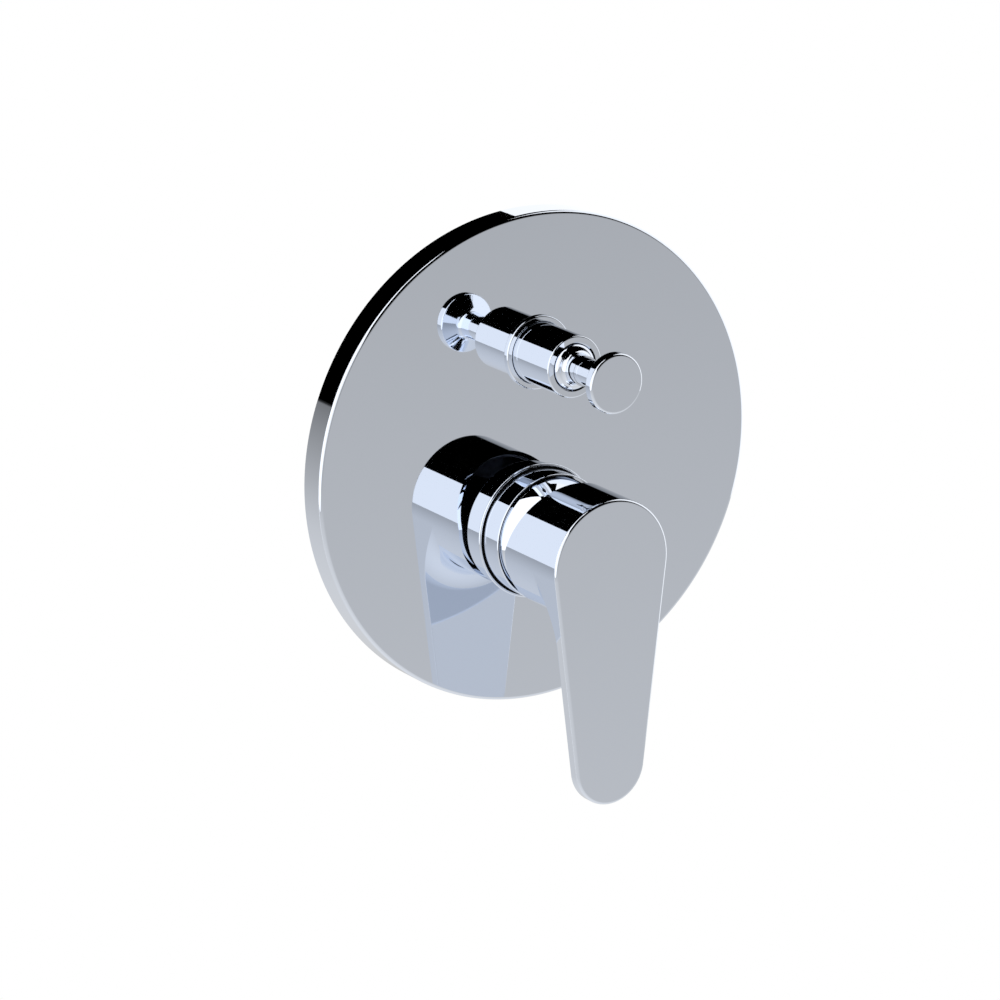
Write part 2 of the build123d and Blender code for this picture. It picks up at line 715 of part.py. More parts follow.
# Valve body: two towers joined by a column, with a socket for each pipe and two lugs at the back
top_z = diverter_axis_z + top_reach
bottom_z = lever_axis_z - bottom_reach
with BuildPart() as valve_body:
    add(turned([
        (0, tower_y),
        (tower_radius, tower_y),
        (tower_radius, collar_rear_y),
        (tower_root_radius, collar_rear_y),
        (tower_root_radius, chamber_floor_y + tower_root_depth),
        (0, chamber_floor_y + tower_root_depth),
    ], lever_axis_z))
    with BuildSketch(Plane.XY.offset(bottom_z + socket_length / 2)):
        with Locations((0, (column_front_y + body_rear_y) / 2)):
            RectangleRounded(column_width, body_rear_y - column_front_y, column_corner)
    extrude(amount=diverter_axis_z - bottom_z - socket_length / 2)
    add(rod(diverter_tower_radius, (0, diverter_front_y, diverter_axis_z), (0, 1, 0),
            body_rear_y - diverter_front_y))
    add(rod(inlet_tube_radius, (-inlet_reach, inlet_y, lever_axis_z), (1, 0, 0), 2 * inlet_reach))
    for side in (-1, 1):
        start = (side * (inlet_reach - socket_length), inlet_y, lever_axis_z)
        add(rod(socket_radius, start, (side, 0, 0), socket_length))
    add(rod(socket_radius, (0, window_y, diverter_axis_z), (0, 0, 1), top_reach))
    add(rod(socket_radius, (0, bottom_y, bottom_z), (0, 0, 1), socket_length))
    with BuildSketch(front_plane(body_rear_y)):
        with Locations((0, lug_height)):
            SlotCenterToCenter(lug_spacing, lug_width)
    extrude(amount=lug_thickness)
    # Chamber, counterbore for the nut, and the diverter's stepped bore
    add(turned([
        (0, tower_y),
        (nut_radius, tower_y),
        (nut_radius, shoulder_y),
        (chamber_radius, shoulder_y),
        (chamber_radius, chamber_floor_y),
        (0, chamber_floor_y),
    ], lever_axis_z), mode=Mode.SUBTRACT)
    add(turned([
        (0, diverter_front_y),
        (bonnet_radius, diverter_front_y),
        (bonnet_radius, bonnet_rear_y),
        (piston_bore, bonnet_rear_y),
        (piston_bore, rear_seat_y),
        (seat_radius, rear_seat_y),
        (seat_radius, chamber_end_y),
        (0, chamber_end_y),
    ], diverter_axis_z), mode=Mode.SUBTRACT)
    # Waterways: inlets, mixed water up to the diverter, and the two outlets
    for side in (-1, 1):
        start = (side * inlet_web, inlet_y, lever_axis_z)
        add(rod(inlet_bore, start, (side, 0, 0), inlet_reach - inlet_web), mode=Mode.SUBTRACT)
        start = (side * (inlet_reach - thread_length), inlet_y, lever_axis_z)
        add(rod(thread_radius, start, (side, 0, 0), thread_length), mode=Mode.SUBTRACT)
    for x, z in ports[:2]:
        start = (x, chamber_floor_y, lever_axis_z + z)
        add(rod(port_radius, start, (0, 1, 0), inlet_y - chamber_floor_y), mode=Mode.SUBTRACT)
    mixed_z = lever_axis_z + mixed_port_z
    start = (0, chamber_floor_y, mixed_z)
    add(rod(port_radius, start, (0, 1, 0), mixed_y - chamber_floor_y + port_radius), mode=Mode.SUBTRACT)
    start = (0, mixed_y, mixed_z - port_radius - passage_radius)
    add(rod(passage_radius, start, (0, 0, 1), diverter_axis_z - start[2]), mode=Mode.SUBTRACT)
    start = (0, window_y, diverter_axis_z)
    add(rod(cage_window_radius, start, (0, 0, 1), top_reach), mode=Mode.SUBTRACT)
    add(rod(thread_radius, (0, window_y, top_z), (0, 0, -1), thread_length), mode=Mode.SUBTRACT)
    start = (0, return_y, diverter_axis_z)
    add(rod(return_radius, start, (0, 0, -1), diverter_axis_z - bottom_z - thread_length - bottom_pocket / 2),
        mode=Mode.SUBTRACT)
    start = (0, bottom_y, bottom_z)
    add(rod(inlet_bore, start, (0, 0, 1), thread_length + bottom_pocket), mode=Mode.SUBTRACT)
    add(rod(thread_radius, start, (0, 0, 1), thread_length), mode=Mode.SUBTRACT)
    with BuildSketch(front_plane(body_rear_y)):
        with Locations((0, lug_height)):
            with GridLocations(lug_spacing, 0, 2, 1):
                Circle(lug_hole_radius)
    extrude(amount=lug_thickness, mode=Mode.SUBTRACT)
valve_body.part.label = "valve_body"
export_step(valve_body.part, "parts/valve_body.step")
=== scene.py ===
import json
import math

import bpy
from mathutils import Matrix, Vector
from mathutils.geometry import tessellate_polygon


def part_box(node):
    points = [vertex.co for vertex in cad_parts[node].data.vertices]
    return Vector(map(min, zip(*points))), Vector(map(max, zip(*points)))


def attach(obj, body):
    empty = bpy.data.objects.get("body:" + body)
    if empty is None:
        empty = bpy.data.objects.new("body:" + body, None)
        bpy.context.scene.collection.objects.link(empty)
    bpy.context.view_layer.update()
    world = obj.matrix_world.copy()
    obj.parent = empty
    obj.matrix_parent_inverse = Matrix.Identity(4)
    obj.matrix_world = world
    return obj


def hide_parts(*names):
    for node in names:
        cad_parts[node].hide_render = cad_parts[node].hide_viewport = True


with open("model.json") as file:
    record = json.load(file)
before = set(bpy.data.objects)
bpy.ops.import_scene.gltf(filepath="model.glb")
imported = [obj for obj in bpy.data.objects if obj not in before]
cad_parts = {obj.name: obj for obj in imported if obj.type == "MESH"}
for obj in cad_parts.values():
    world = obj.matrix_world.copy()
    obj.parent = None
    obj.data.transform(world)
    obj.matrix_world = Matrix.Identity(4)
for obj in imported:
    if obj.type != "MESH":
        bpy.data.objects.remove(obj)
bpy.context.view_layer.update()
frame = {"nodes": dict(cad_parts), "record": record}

bl_info = {
    "name": "Concealed Shower Mixer",
    "version": (1, 0, 0),
    "blender": (4, 5, 0),
    "location": "3D View > Sidebar > Mixer",
    "description": "Chromed front, in-wall body and studio of a single-lever shower mixer",
    "category": "Object",
}

MM = 0.001

# Boxes of the CAD nodes that the chromed pieces stand for, in metres
PLATE_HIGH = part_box("cover_plate")[1]
COLLAR_LOW, COLLAR_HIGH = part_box("cartridge_sleeve")
SEAL_LOW, SEAL_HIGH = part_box("cartridge_sleeve_seal")
LEVER_LOW, LEVER_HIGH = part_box("lever")
CAP_LOW, CAP_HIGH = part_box("set_screw_cap")
TUBE_LOW, TUBE_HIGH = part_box("diverter_sleeve")
RING_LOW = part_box("diverter_sleeve_seal")[0]
BUSH_LOW, BUSH_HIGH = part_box("diverter_bush")
KNOB_LOW, KNOB_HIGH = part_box("diverter_knob")
JOINTS = {joint["name"]: joint for joint in frame["record"]["behaviour"]["joints"]}
MOUNTS = {mount["name"]: mount for mount in frame["record"]["mounts"]}
LEVER_Z = (COLLAR_LOW.z + COLLAR_HIGH.z) / 2
DIVERTER_Z = (TUBE_LOW.z + TUBE_HIGH.z) / 2
PIVOT_Y = JOINTS["lever_tilt"]["pos_m"][1]


def linear(hex_colour):
    """Linear RGB from an sRGB hex value."""
    channels = [int(hex_colour[i:i + 2], 16) / 255 for i in (1, 3, 5)]
    return tuple(c / 12.92 if c <= 0.04045 else ((c + 0.055) / 1.055) ** 2.4 for c in channels)


def length(name, description, millimetres):
    """A size property, given in millimetres and kept in metres."""
    return bpy.props.FloatProperty(
        name=name, description=description, default=millimetres * MM, min=0.0, unit="LENGTH", precision=5)


def colour(name, description, hex_colour):
    """A colour property, given as an sRGB hex value and kept linear."""
    return bpy.props.FloatVectorProperty(
        name=name, description=description, default=linear(hex_colour), size=3,
        min=0.0, max=1.0, subtype="COLOR")


def angle(name, description, degrees):
    """An angle property, given in degrees and kept in radians."""
    return bpy.props.FloatProperty(
        name=name, description=description, default=math.radians(degrees), subtype="ANGLE")


def number(name, description, default):
    """A property without a unit."""
    return bpy.props.FloatProperty(name=name, description=description, default=default)


class MixerSizes(bpy.types.PropertyGroup):
    """Sizes of the chromed pieces that the CAD boxes don't give."""
    plate_depth: length("Plate depth", "From the wall to the plate's flat face", 10.5)
    plate_wall: length("Plate wall", "Thickness of the drawn plate", 1.6)
    plate_edge: length("Plate edge", "Radius of the plate's front edge", 1.2)
    collar_hole: length("Collar hole", "Radius of the plate's lower hole", 22.5)
    collar_lip_width: length("Collar lip width", "Width of the lip around the lower hole", 1.0)
    collar_lip_height: length("Collar lip height", "Height of that lip over the face", 0.5)
    collar_lip_edge: length("Collar lip edge", "Radius of that lip's edges", 0.45)
    tube_hole: length("Tube hole", "Radius of the plate's upper hole", 11.25)
    tube_lip_width: length("Tube lip width", "Width of the lip around the upper hole", 1.5)
    tube_lip_height: length("Tube lip height", "Height of that lip over the face", 1.2)
    tube_lip_edge: length("Tube lip edge", "Radius of that lip's edges", 0.55)
    tube_lip_gap: length("Tube lip gap", "Gap between that lip and the tube", 0.15)
    seal_head: length("Seal head", "How far the seal laps over the lip's inner edge", 0.25)
    collar_reach: length("Collar reach", "From the plate's face to the collar's rim", 9.7)
    collar_bore: length("Collar bore", "Radius of the collar's bore", 19.6)
    collar_edge: length("Collar edge", "Radius of the collar's front edge", 0.45)
    collar_rim: length("Collar rim", "Width of the rim outside the groove", 0.6)
    groove_depth: length("Groove depth", "Depth of the groove between rim and dome", 0.8)
    dome_radius: length("Dome radius", "Radius of the dome around the lever's pivot", 22.65)
    dome_wall: length("Dome wall", "Thickness of the dome", 1.6)
    paddle_thickness: length("Paddle thickness", "Thickness of the lever's paddle", 4.4)
    tip_radius: length("Tip radius", "Radius of the paddle's end", 13.45)
    lever_edge: length("Lever edge", "Radius of the lever's front edge", 1.0)
    back_edge: length("Back edge", "Radius of the paddle's back edge", 0.45)
    web_radius: length("Web radius", "Radius of the hollow between hub and paddle", 10.0)
    hub_slant: length("Hub slant", "How far the hub's rear end leans forward at the top", 8.4)
    hub_mouth_wall: length("Hub mouth wall", "Thickness of the hub at its mouth", 1.3)
    hub_mouth_depth: length("Hub mouth depth", "Depth of the thin part of the hub", 9.4)
    hub_wall: length("Hub wall", "Thickness of the hub further in", 2.4)
    hub_face: length("Hub face", "Thickness of the hub's front", 6.5)
    boss_radius: length("Boss radius", "Radius of the boss inside the hub", 9.0)
    boss_length: length("Boss length", "Length of that boss", 20.0)
    socket_side: length("Socket side", "Side of the square hole in the boss", 8.0)
    socket_depth: length("Socket depth", "Depth of that hole", 16.0)
    tube_bore: length("Tube bore", "Radius of the diverter tube's bore", 8.4)
    tube_edge: length("Tube edge", "Radius of the tube's front edge", 0.55)
    stem_radius: length("Stem radius", "Radius of the knob's stem", 4.55)
    stem_gap: length("Stem gap", "Gap between stem and bush", 0.05)
    neck_wall: length("Neck wall", "Thickness of the bush's neck", 0.55)
    flare_gap: length("Flare gap", "Gap between the flare and the tube", 0.4)
    flare_edge: length("Flare edge", "Radius of the flare's edge", 2.0)
    flare_height: length("Flare height", "Height of the flare's cone", 0.8)
    flare_root: length("Flare root", "Radius between cone and neck", 1.8)
    flare_rise: length("Flare rise", "How far the flare stands out of the tube", 0.6)
    flare_land: length("Flare land", "Depth of the flare inside the tube", 3.3)
    knob_rim: length("Knob rim", "Thickness of the knob's rim", 3.5)
    knob_edge: length("Knob edge", "Radius of the knob's front edge", 0.9)
    knob_rear_edge: length("Knob rear edge", "Radius of the knob's rear edge", 0.7)
    knob_cone: length("Knob cone", "Height of the cone behind the rim", 2.6)
    knob_root: length("Knob root", "Radius between cone and stem", 2.2)
    spindle_radius: length("Spindle radius", "Radius of the hole for the diverter's spindle", 3.0)
    knob_hole: length("Knob hole", "Depth of that hole", 26.0)
    thread_pitch: length("Thread pitch", "Pitch of the pipe sockets' thread", 1.814)
    thread_height: length("Thread height", "Height of the thread's crest over the bore", 0.3)
    dome_mouth: angle("Dome mouth", "Half angle of the opening in the dome", 47.0)


class MixerLook(bpy.types.PropertyGroup):
    """Colours of the finishes."""
    chrome: colour("Chrome", "Reflection colour of the polished chrome", "#edf3fd")
    # Painted shade: the inside of the lever's hub is kept dark for the shade in its hollow
    casting: colour("Casting", "Thin plating inside the lever's hub", "#474a52")
    rubber: colour("Rubber", "Black rubber of the seals", "#070707")
    foam: colour("Foam", "Foam of the wall gasket", "#222325")
    brass: colour("Brass", "Cast and machined brass", "#cfa968")
    brass_dark: colour("Brass skin", "Darker skin in the casting's hollows", "#a17f48")
    zinc: colour("Zinc", "Bare die-cast zinc", "#b4b5b8")
    steel: colour("Steel", "Plain steel of screw and pin", "#9d9ea1")
    white_acetal: colour("White acetal", "Cartridge shell", "#e6e5df")
    black_acetal: colour("Black acetal", "Disc carrier", "#2b2c2e")
    alumina: colour("Alumina", "Ceramic discs", "#f0eee8")
    plug: colour("Plug", "Plated plug over the set screw", "#dadce0")


class MixerStage(bpy.types.PropertyGroup):
    """Camera and studio."""
    azimuth: angle("Azimuth", "Camera's angle around the mixer", -32.71)
    elevation: angle("Elevation", "Camera's angle over the mixer", 16.36)
    distance: length("Distance", "From the camera to the wall point behind the plate", 1700.0)
    focal: number("Focal length", "Camera lens in millimetres", 180.6)
    shift_x: number("Shift X", "Framing of the photograph", -0.0206)
    shift_y: number("Shift Y", "Framing of the photograph", -0.0496)
    floor_drop: length("Floor drop", "From the middle of the plate down to the studio floor", 260.0)
    key_light: number("Key light", "Brightness of the three softboxes on the left", 1.25)
    side_light: number("Side light", "Brightness of the two softboxes on the right", 1.05)
    back_light: number("Back screen", "Brightness of the low screen behind", 0.63)


class Skin:
    """Faces with a true normal at each corner, so that turned and cast chrome reflects without facets."""

    def __init__(self):
        self.points = []
        self.known = {}
        self.faces = []
        self.normals = []
        self.coat = 0
        self.coats = []

    def point(self, place):
        """Index of a place; places within a tenth of a micrometre of each other are one."""
        key = tuple(round(c * 1e7) for c in place)
        if key not in self.known:
            self.known[key] = len(self.points)
            self.points.append(tuple(place))
        return self.known[key]

    def face(self, corners):
        """Add a face from (place, normal) corners, and turn it so that it looks along its normals."""
        kept = []
        for place, normal in corners:
            index = self.point(place)
            if index not in [k for k, _ in kept]:
                kept.append((index, Vector(normal).normalized()))
        if len(kept) < 3:
            return
        places = [Vector(self.points[k]) for k, _ in kept]
        flat = sum((places[i - 1].cross(places[i]) for i in range(len(places))), Vector())
        if flat.dot(sum((n for _, n in kept), Vector())) < 0:
            kept.reverse()
        self.faces.append([k for k, _ in kept])
        self.coats.append(self.coat)
        self.normals.extend(n for _, n in kept)

    def grid(self, rows, closed=False):
        """Join rows of (place, normal) into four-sided faces."""
        for upper, lower in zip(rows, rows[1:]):
            count = len(upper) if closed else len(upper) - 1
            for i in range(count):
                j = (i + 1) % len(upper)
                self.face([upper[i], upper[j], lower[j], lower[i]])

    def flat(self, loops, place, normal):
        """Fill flat loops of (u, v) points, the first one outside and the others holes."""
        corners = [c for loop in loops for c in loop]
        for triangle in tessellate_polygon([[Vector((u, v, 0)) for u, v in loop] for loop in loops]):
            self.face([(place(*corners[k]), normal) for k in triangle])

    def piece(self, name, body, materials, slot, *nodes):
        """Make the object, and let it ride on its body in place of the CAD nodes."""
        mesh = bpy.data.meshes.new(name)
        mesh.from_pydata(self.points, [], self.faces)
        mesh.polygons.foreach_set("use_smooth", [True] * len(mesh.polygons))
        mesh.normals_split_custom_set(self.normals)
        if mesh.validate():
            raise RuntimeError(name + " has faulty faces")
        for material in materials:
            mesh.materials.append(material)
        mesh.polygons.foreach_set("material_index", self.coats)
        made = bpy.data.objects.new(name, mesh)
        bpy.context.scene.collection.objects.link(made)
        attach(made, body)
        if nodes:
            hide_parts(*nodes)


def strips(outline, steps=10, closed=True):
    """Straight and rounded stretches of a profile, each a list of (radius, y, normal radius, normal y).

    A corner is (radius, y) or (radius, y, fillet). The material lies inside the outline.
    """
    corners = [(Vector(c[:2]), c[2] if len(c) == 3 else 0.0) for c in outline]
    count = len(corners)
    area = sum(corners[i - 1][0].cross(corners[i][0]) for i in range(count))
    side = 1 if area > 0 else -1
    ways = [(corners[(i + 1) % count][0] - corners[i][0]).normalized() for i in range(count)]
    outward = [Vector((way.y, -way.x)) * side for way in ways]
    starts, ends, bends = [], [], []
    for i, (at, fillet) in enumerate(corners):
        bend = []
        if fillet:
            before, after = ways[i - 1], ways[i]
            cut = fillet * math.tan(before.angle(after) / 2)
            swell = 1 if before.cross(after) * side > 0 else -1
            start = at - before * cut
            centre = start - outward[i - 1] * fillet * swell
            for k in range(steps + 1):
                normal = outward[i - 1].slerp(outward[i], k / steps)
                at_k = centre + normal * fillet * swell
                bend.append((at_k.x, at_k.y, normal.x, normal.y))
            starts.append(start)
            ends.append(at + after * cut)
        else:
            starts.append(at)
            ends.append(at)
        bends.append(bend)
    found = []
    for i in range(count):
        if bends[i]:
            found.append(bends[i])
        if i == count - 1 and not closed:
            break
        first, last = ends[i], starts[(i + 1) % count]
        if max(first.x, last.x) > 1e-9 and (last - first).length > 1e-9:
            found.append([(p.x, p.y, outward[i].x, outward[i].y) for p in (first, last)])
    return found


def circle_points(radius, height, segments):
    """Points of a circle around the line along Y at a height."""
    turns = [2 * math.pi * i / segments for i in range(segments)]
    return [(radius * math.sin(t), height + radius * math.cos(t)) for t in turns]


def turn(skin, stretches, height, segments):
    """Turn the stretches of a profile about the line along Y at a height."""
    ways = circle_points(1.0, 0.0, segments)
    for stretch in stretches:
        skin.grid([[
            ((radius * s, y, height + radius * c), (out * s, along, out * c)) for s, c in ways
        ] for radius, y, out, along in stretch], closed=True)


# Materials


def add_node(tree, kind, inputs=None, stops=None, **settings):
    """Add a node, set its settings and inputs, and link the inputs that are given as sockets."""
    node = tree.nodes.new(kind)
    for key, value in settings.items():
        setattr(node, key, value)
    for key, value in (inputs or {}).items():
        if isinstance(value, bpy.types.NodeSocket):
            tree.links.new(value, node.inputs[key])
        else:
            node.inputs[key].default_value = value
    if stops:
        elements = node.color_ramp.elements
        while len(elements) > 1:
            elements.remove(elements[-1])
        elements[0].position = stops[0][0]
        elements[0].color = (*stops[0][1], 1.0)
        for position, value in stops[1:]:
            elements.new(position).color = (*value, 1.0)
    return node


def new_material(name):
    """An empty node material, its tree, shader and object coordinates in metres."""
    material = bpy.data.materials.new(name)
    material.use_nodes = True
    tree = material.node_tree
    shader = tree.nodes["Principled BSDF"]
    place = add_node(tree, "ShaderNodeTexCoord").outputs["Object"]
    return material, tree, shader, place


def per(millimetres):
    """Texture scale for a pattern of a real size."""
    return 1.0 / (millimetres * MM)


def polished_chrome_plate(look):
    """Buffed and chromed brass or zinc.

    A clear, slightly cool mirror. The buffing leaves a faint long waviness, and finger marks dull it a
    little in places a centimetre or two across.
    """
    material, tree, shader, place = new_material("polished_chrome_plate")
    shader.inputs["Base Color"].default_value = (*look.chrome, 1.0)
    shader.inputs["Metallic"].default_value = 1.0
    marks = add_node(tree, "ShaderNodeTexNoise", {"Vector": place, "Scale": per(14.0), "Detail": 3.0})
    dull = add_node(tree, "ShaderNodeMapRange", {
        "Value": marks.outputs["Fac"], "From Min": 0.35, "From Max": 0.75,
        "To Min": 0.012, "To Max": 0.035})
    wave = add_node(tree, "ShaderNodeTexNoise", {"Vector": place, "Scale": per(25.0), "Detail": 0.0})
    bump = add_node(tree, "ShaderNodeBump", {
        "Height": wave.outputs["Fac"], "Strength": 1.0, "Distance": 0.0004 * MM})
    tree.links.new(dull.outputs["Result"], shader.inputs["Roughness"])
    tree.links.new(bump.outputs["Normal"], shader.inputs["Normal"])
    return material


def plated_casting(look):
    """Casting inside the lever's hub, not buffed: a thin flash of plating, cloudy and half dull, whose
    colour is kept dark as painted shade in the hub's hollow.
    """
    material, tree, shader, place = new_material("hub_inside_painted_shade")
    shader.inputs["Metallic"].default_value = 1.0
    flow = add_node(tree, "ShaderNodeTexNoise", {"Vector": place, "Scale": per(5.0), "Detail": 4.0})
    # Both dark colours are painted shade in the hub's hollow; the noise between them makes the plating
    # cloudy
    tone = add_node(tree, "ShaderNodeValToRGB", {"Fac": flow.outputs["Fac"]}, stops=[
        (0.35, linear("#2b2d33")), (0.65, tuple(look.casting))])
    dull = add_node(tree, "ShaderNodeMapRange", {
        "Value": flow.outputs["Fac"], "To Min": 0.3, "To Max": 0.5})
    tree.links.new(tone.outputs["Color"], shader.inputs["Base Color"])
    tree.links.new(dull.outputs["Result"], shader.inputs["Roughness"])
    return material


def moulded_nitrile_rubber(look):
    """Moulded nitrile rubber: deep black and matt, with a fine grain from the mould and a grey bloom."""
    material, tree, shader, place = new_material("moulded_nitrile_rubber")
    shader.inputs["IOR"].default_value = 1.5
    shader.inputs["Specular IOR Level"].default_value = 0.08
    bloom = add_node(tree, "ShaderNodeTexNoise", {"Vector": place, "Scale": per(3.0), "Detail": 4.0})
    tone = add_node(tree, "ShaderNodeValToRGB", {"Fac": bloom.outputs["Fac"]}, stops=[
        (0.4, tuple(look.rubber)), (0.8, linear("#111112"))])
    grain = add_node(tree, "ShaderNodeTexNoise", {"Vector": place, "Scale": per(0.25), "Detail": 2.0})
    dull = add_node(tree, "ShaderNodeMapRange", {
        "Value": grain.outputs["Fac"], "To Min": 0.55, "To Max": 0.8})
    bump = add_node(tree, "ShaderNodeBump", {
        "Height": grain.outputs["Fac"], "Strength": 0.4, "Distance": 0.03 * MM})
    tree.links.new(tone.outputs["Color"], shader.inputs["Base Color"])
    tree.links.new(dull.outputs["Result"], shader.inputs["Roughness"])
    tree.links.new(bump.outputs["Normal"], shader.inputs["Normal"])
    return material


def cell_foam(look):
    """Die-cut closed-cell foam: dark grey, and its cut faces show open cells of about half a millimetre,
    with painted shade in their pits.
    """
    material, tree, shader, place = new_material("closed_cell_foam")
    shader.inputs["Specular IOR Level"].default_value = 0.2
    cells = add_node(tree, "ShaderNodeTexVoronoi", {"Vector": place, "Scale": per(0.55)})
    # The cells' pits are painted darker, which is painted shade in the pits; the bump gives their relief
    tone = add_node(tree, "ShaderNodeValToRGB", {"Fac": cells.outputs["Distance"]}, stops=[
        (0.1, linear("#101112")), (0.6, tuple(look.foam))])
    bump = add_node(tree, "ShaderNodeBump", {
        "Height": cells.outputs["Distance"], "Strength": 0.8, "Distance": 0.12 * MM})
    shader.inputs["Roughness"].default_value = 0.92
    tree.links.new(tone.outputs["Color"], shader.inputs["Base Color"])
    tree.links.new(bump.outputs["Normal"], shader.inputs["Normal"])
    return material


def sand_cast_brass(look):
    """Sand-cast brass, shot blasted: a grainy, half-dull gold, browner where the skin stays thicker."""
    material, tree, shader, place = new_material("sand_cast_brass")
    shader.inputs["Metallic"].default_value = 1.0
    skin = add_node(tree, "ShaderNodeTexNoise", {"Vector": place, "Scale": per(16.0), "Detail": 5.0})
    tone = add_node(tree, "ShaderNodeValToRGB", {"Fac": skin.outputs["Fac"]}, stops=[
        (0.36, tuple(look.brass_dark)), (0.6, tuple(look.brass))])
    dull = add_node(tree, "ShaderNodeMapRange", {
        "Value": skin.outputs["Fac"], "From Min": 0.3, "From Max": 0.7, "To Min": 0.58, "To Max": 0.36})
    # Sand of 0.25 mm is drawn at 0.8 mm, or it would not show
    sand = add_node(tree, "ShaderNodeTexNoise", {"Vector": place, "Scale": per(0.8), "Detail": 3.0})
    bump = add_node(tree, "ShaderNodeBump", {
        "Height": sand.outputs["Fac"], "Strength": 0.7, "Distance": 0.25 * MM})
    tree.links.new(tone.outputs["Color"], shader.inputs["Base Color"])
    tree.links.new(dull.outputs["Result"], shader.inputs["Roughness"])
    tree.links.new(bump.outputs["Normal"], shader.inputs["Normal"])
    return material


def turned_brass(look):
    """Lathe-turned brass: bright gold with fine tool marks around the axis, which is along Y."""
    material, tree, shader, place = new_material("turned_brass")
    shader.inputs["Base Color"].default_value = (*look.brass, 1.0)
    shader.inputs["Metallic"].default_value = 1.0
    # The tool's feed of 0.1 mm is drawn at 2.51 mm, or it would not show; a wave of scale 1 is pi / 10 long
    wave_length = math.pi / 10
    marks = add_node(tree, "ShaderNodeTexWave", {
        "Vector": place, "Scale": wave_length * per(2.51), "Distortion": 0.6, "Detail": 2.0,
    }, bands_direction="Y")
    dull = add_node(tree, "ShaderNodeMapRange", {
        "Value": marks.outputs["Fac"], "To Min": 0.2, "To Max": 0.3})
    bump = add_node(tree, "ShaderNodeBump", {
        "Height": marks.outputs["Fac"], "Strength": 0.3, "Distance": 0.02 * MM})
    tree.links.new(dull.outputs["Result"], shader.inputs["Roughness"])
    tree.links.new(bump.outputs["Normal"], shader.inputs["Normal"])
    return material


def die_cast_zinc(look):
    """Bare die-cast zinc: pale grey metal, smooth with flow marks, dull from a thin oxide."""
    material, tree, shader, place = new_material("die_cast_zinc")
    shader.inputs["Metallic"].default_value = 1.0
    flow = add_node(tree, "ShaderNodeTexNoise", {
        "Vector": place, "Scale": per(6.0), "Detail": 4.0, "Distortion": 1.5})
    tone = add_node(tree, "ShaderNodeValToRGB", {"Fac": flow.outputs["Fac"]}, stops=[
        (0.35, linear("#8f9094")), (0.6, tuple(look.zinc))])
    dull = add_node(tree, "ShaderNodeMapRange", {
        "Value": flow.outputs["Fac"], "To Min": 0.35, "To Max": 0.55})
    tree.links.new(tone.outputs["Color"], shader.inputs["Base Color"])
    tree.links.new(dull.outputs["Result"], shader.inputs["Roughness"])
    return material


def plain_steel(look):
    """Drawn steel wire, cut to length: grey, with streaks of the drawing die."""
    material, tree, shader, place = new_material("drawn_steel")
    shader.inputs["Base Color"].default_value = (*look.steel, 1.0)
    shader.inputs["Metallic"].default_value = 1.0
    streaks = add_node(tree, "ShaderNodeTexNoise", {"Vector": place, "Scale": per(0.6), "Detail": 3.0})
    dull = add_node(tree, "ShaderNodeMapRange", {
        "Value": streaks.outputs["Fac"], "To Min": 0.22, "To Max": 0.42})
    tree.links.new(dull.outputs["Result"], shader.inputs["Roughness"])
    return material


def moulded_acetal(name, shade, deep):
    """Injection-moulded acetal: smooth and waxy, with the fine texture of a spark-eroded mould."""
    material, tree, shader, place = new_material(name)
    shader.inputs["IOR"].default_value = 1.48
    flow = add_node(tree, "ShaderNodeTexNoise", {"Vector": place, "Scale": per(9.0), "Detail": 2.0})
    tone = add_node(tree, "ShaderNodeValToRGB", {"Fac": flow.outputs["Fac"]}, stops=[
        (0.3, deep), (0.6, tuple(shade))])
    # The mould's texture of 0.05 mm is drawn at 0.3 mm, or it would not show
    grain = add_node(tree, "ShaderNodeTexNoise", {"Vector": place, "Scale": per(0.3), "Detail": 2.0})
    dull = add_node(tree, "ShaderNodeMapRange", {
        "Value": grain.outputs["Fac"], "To Min": 0.34, "To Max": 0.5})
    bump = add_node(tree, "ShaderNodeBump", {
        "Height": grain.outputs["Fac"], "Strength": 0.25, "Distance": 0.02 * MM})
    tree.links.new(tone.outputs["Color"], shader.inputs["Base Color"])
    tree.links.new(dull.outputs["Result"], shader.inputs["Roughness"])
    tree.links.new(bump.outputs["Normal"], shader.inputs["Normal"])
    return material


def lapped_alumina(look):
    """Sintered and lapped alumina: ivory white, satin to glossy, with a faint speckle of the grains."""
    material, tree, shader, place = new_material("lapped_alumina")
    shader.inputs["IOR"].default_value = 1.77
    # Grains of 0.01 mm are drawn at 0.35 mm, or they would not show
    grains = add_node(tree, "ShaderNodeTexNoise", {"Vector": place, "Scale": per(0.35), "Detail": 2.0})
    tone = add_node(tree, "ShaderNodeValToRGB", {"Fac": grains.outputs["Fac"]}, stops=[
        (0.35, linear("#dedbd2")), (0.55, tuple(look.alumina))])
    dull = add_node(tree, "ShaderNodeMapRange", {
        "Value": grains.outputs["Fac"], "To Min": 0.1, "To Max": 0.22})
    tree.links.new(tone.outputs["Color"], shader.inputs["Base Color"])
    tree.links.new(dull.outputs["Result"], shader.inputs["Roughness"])
    return material


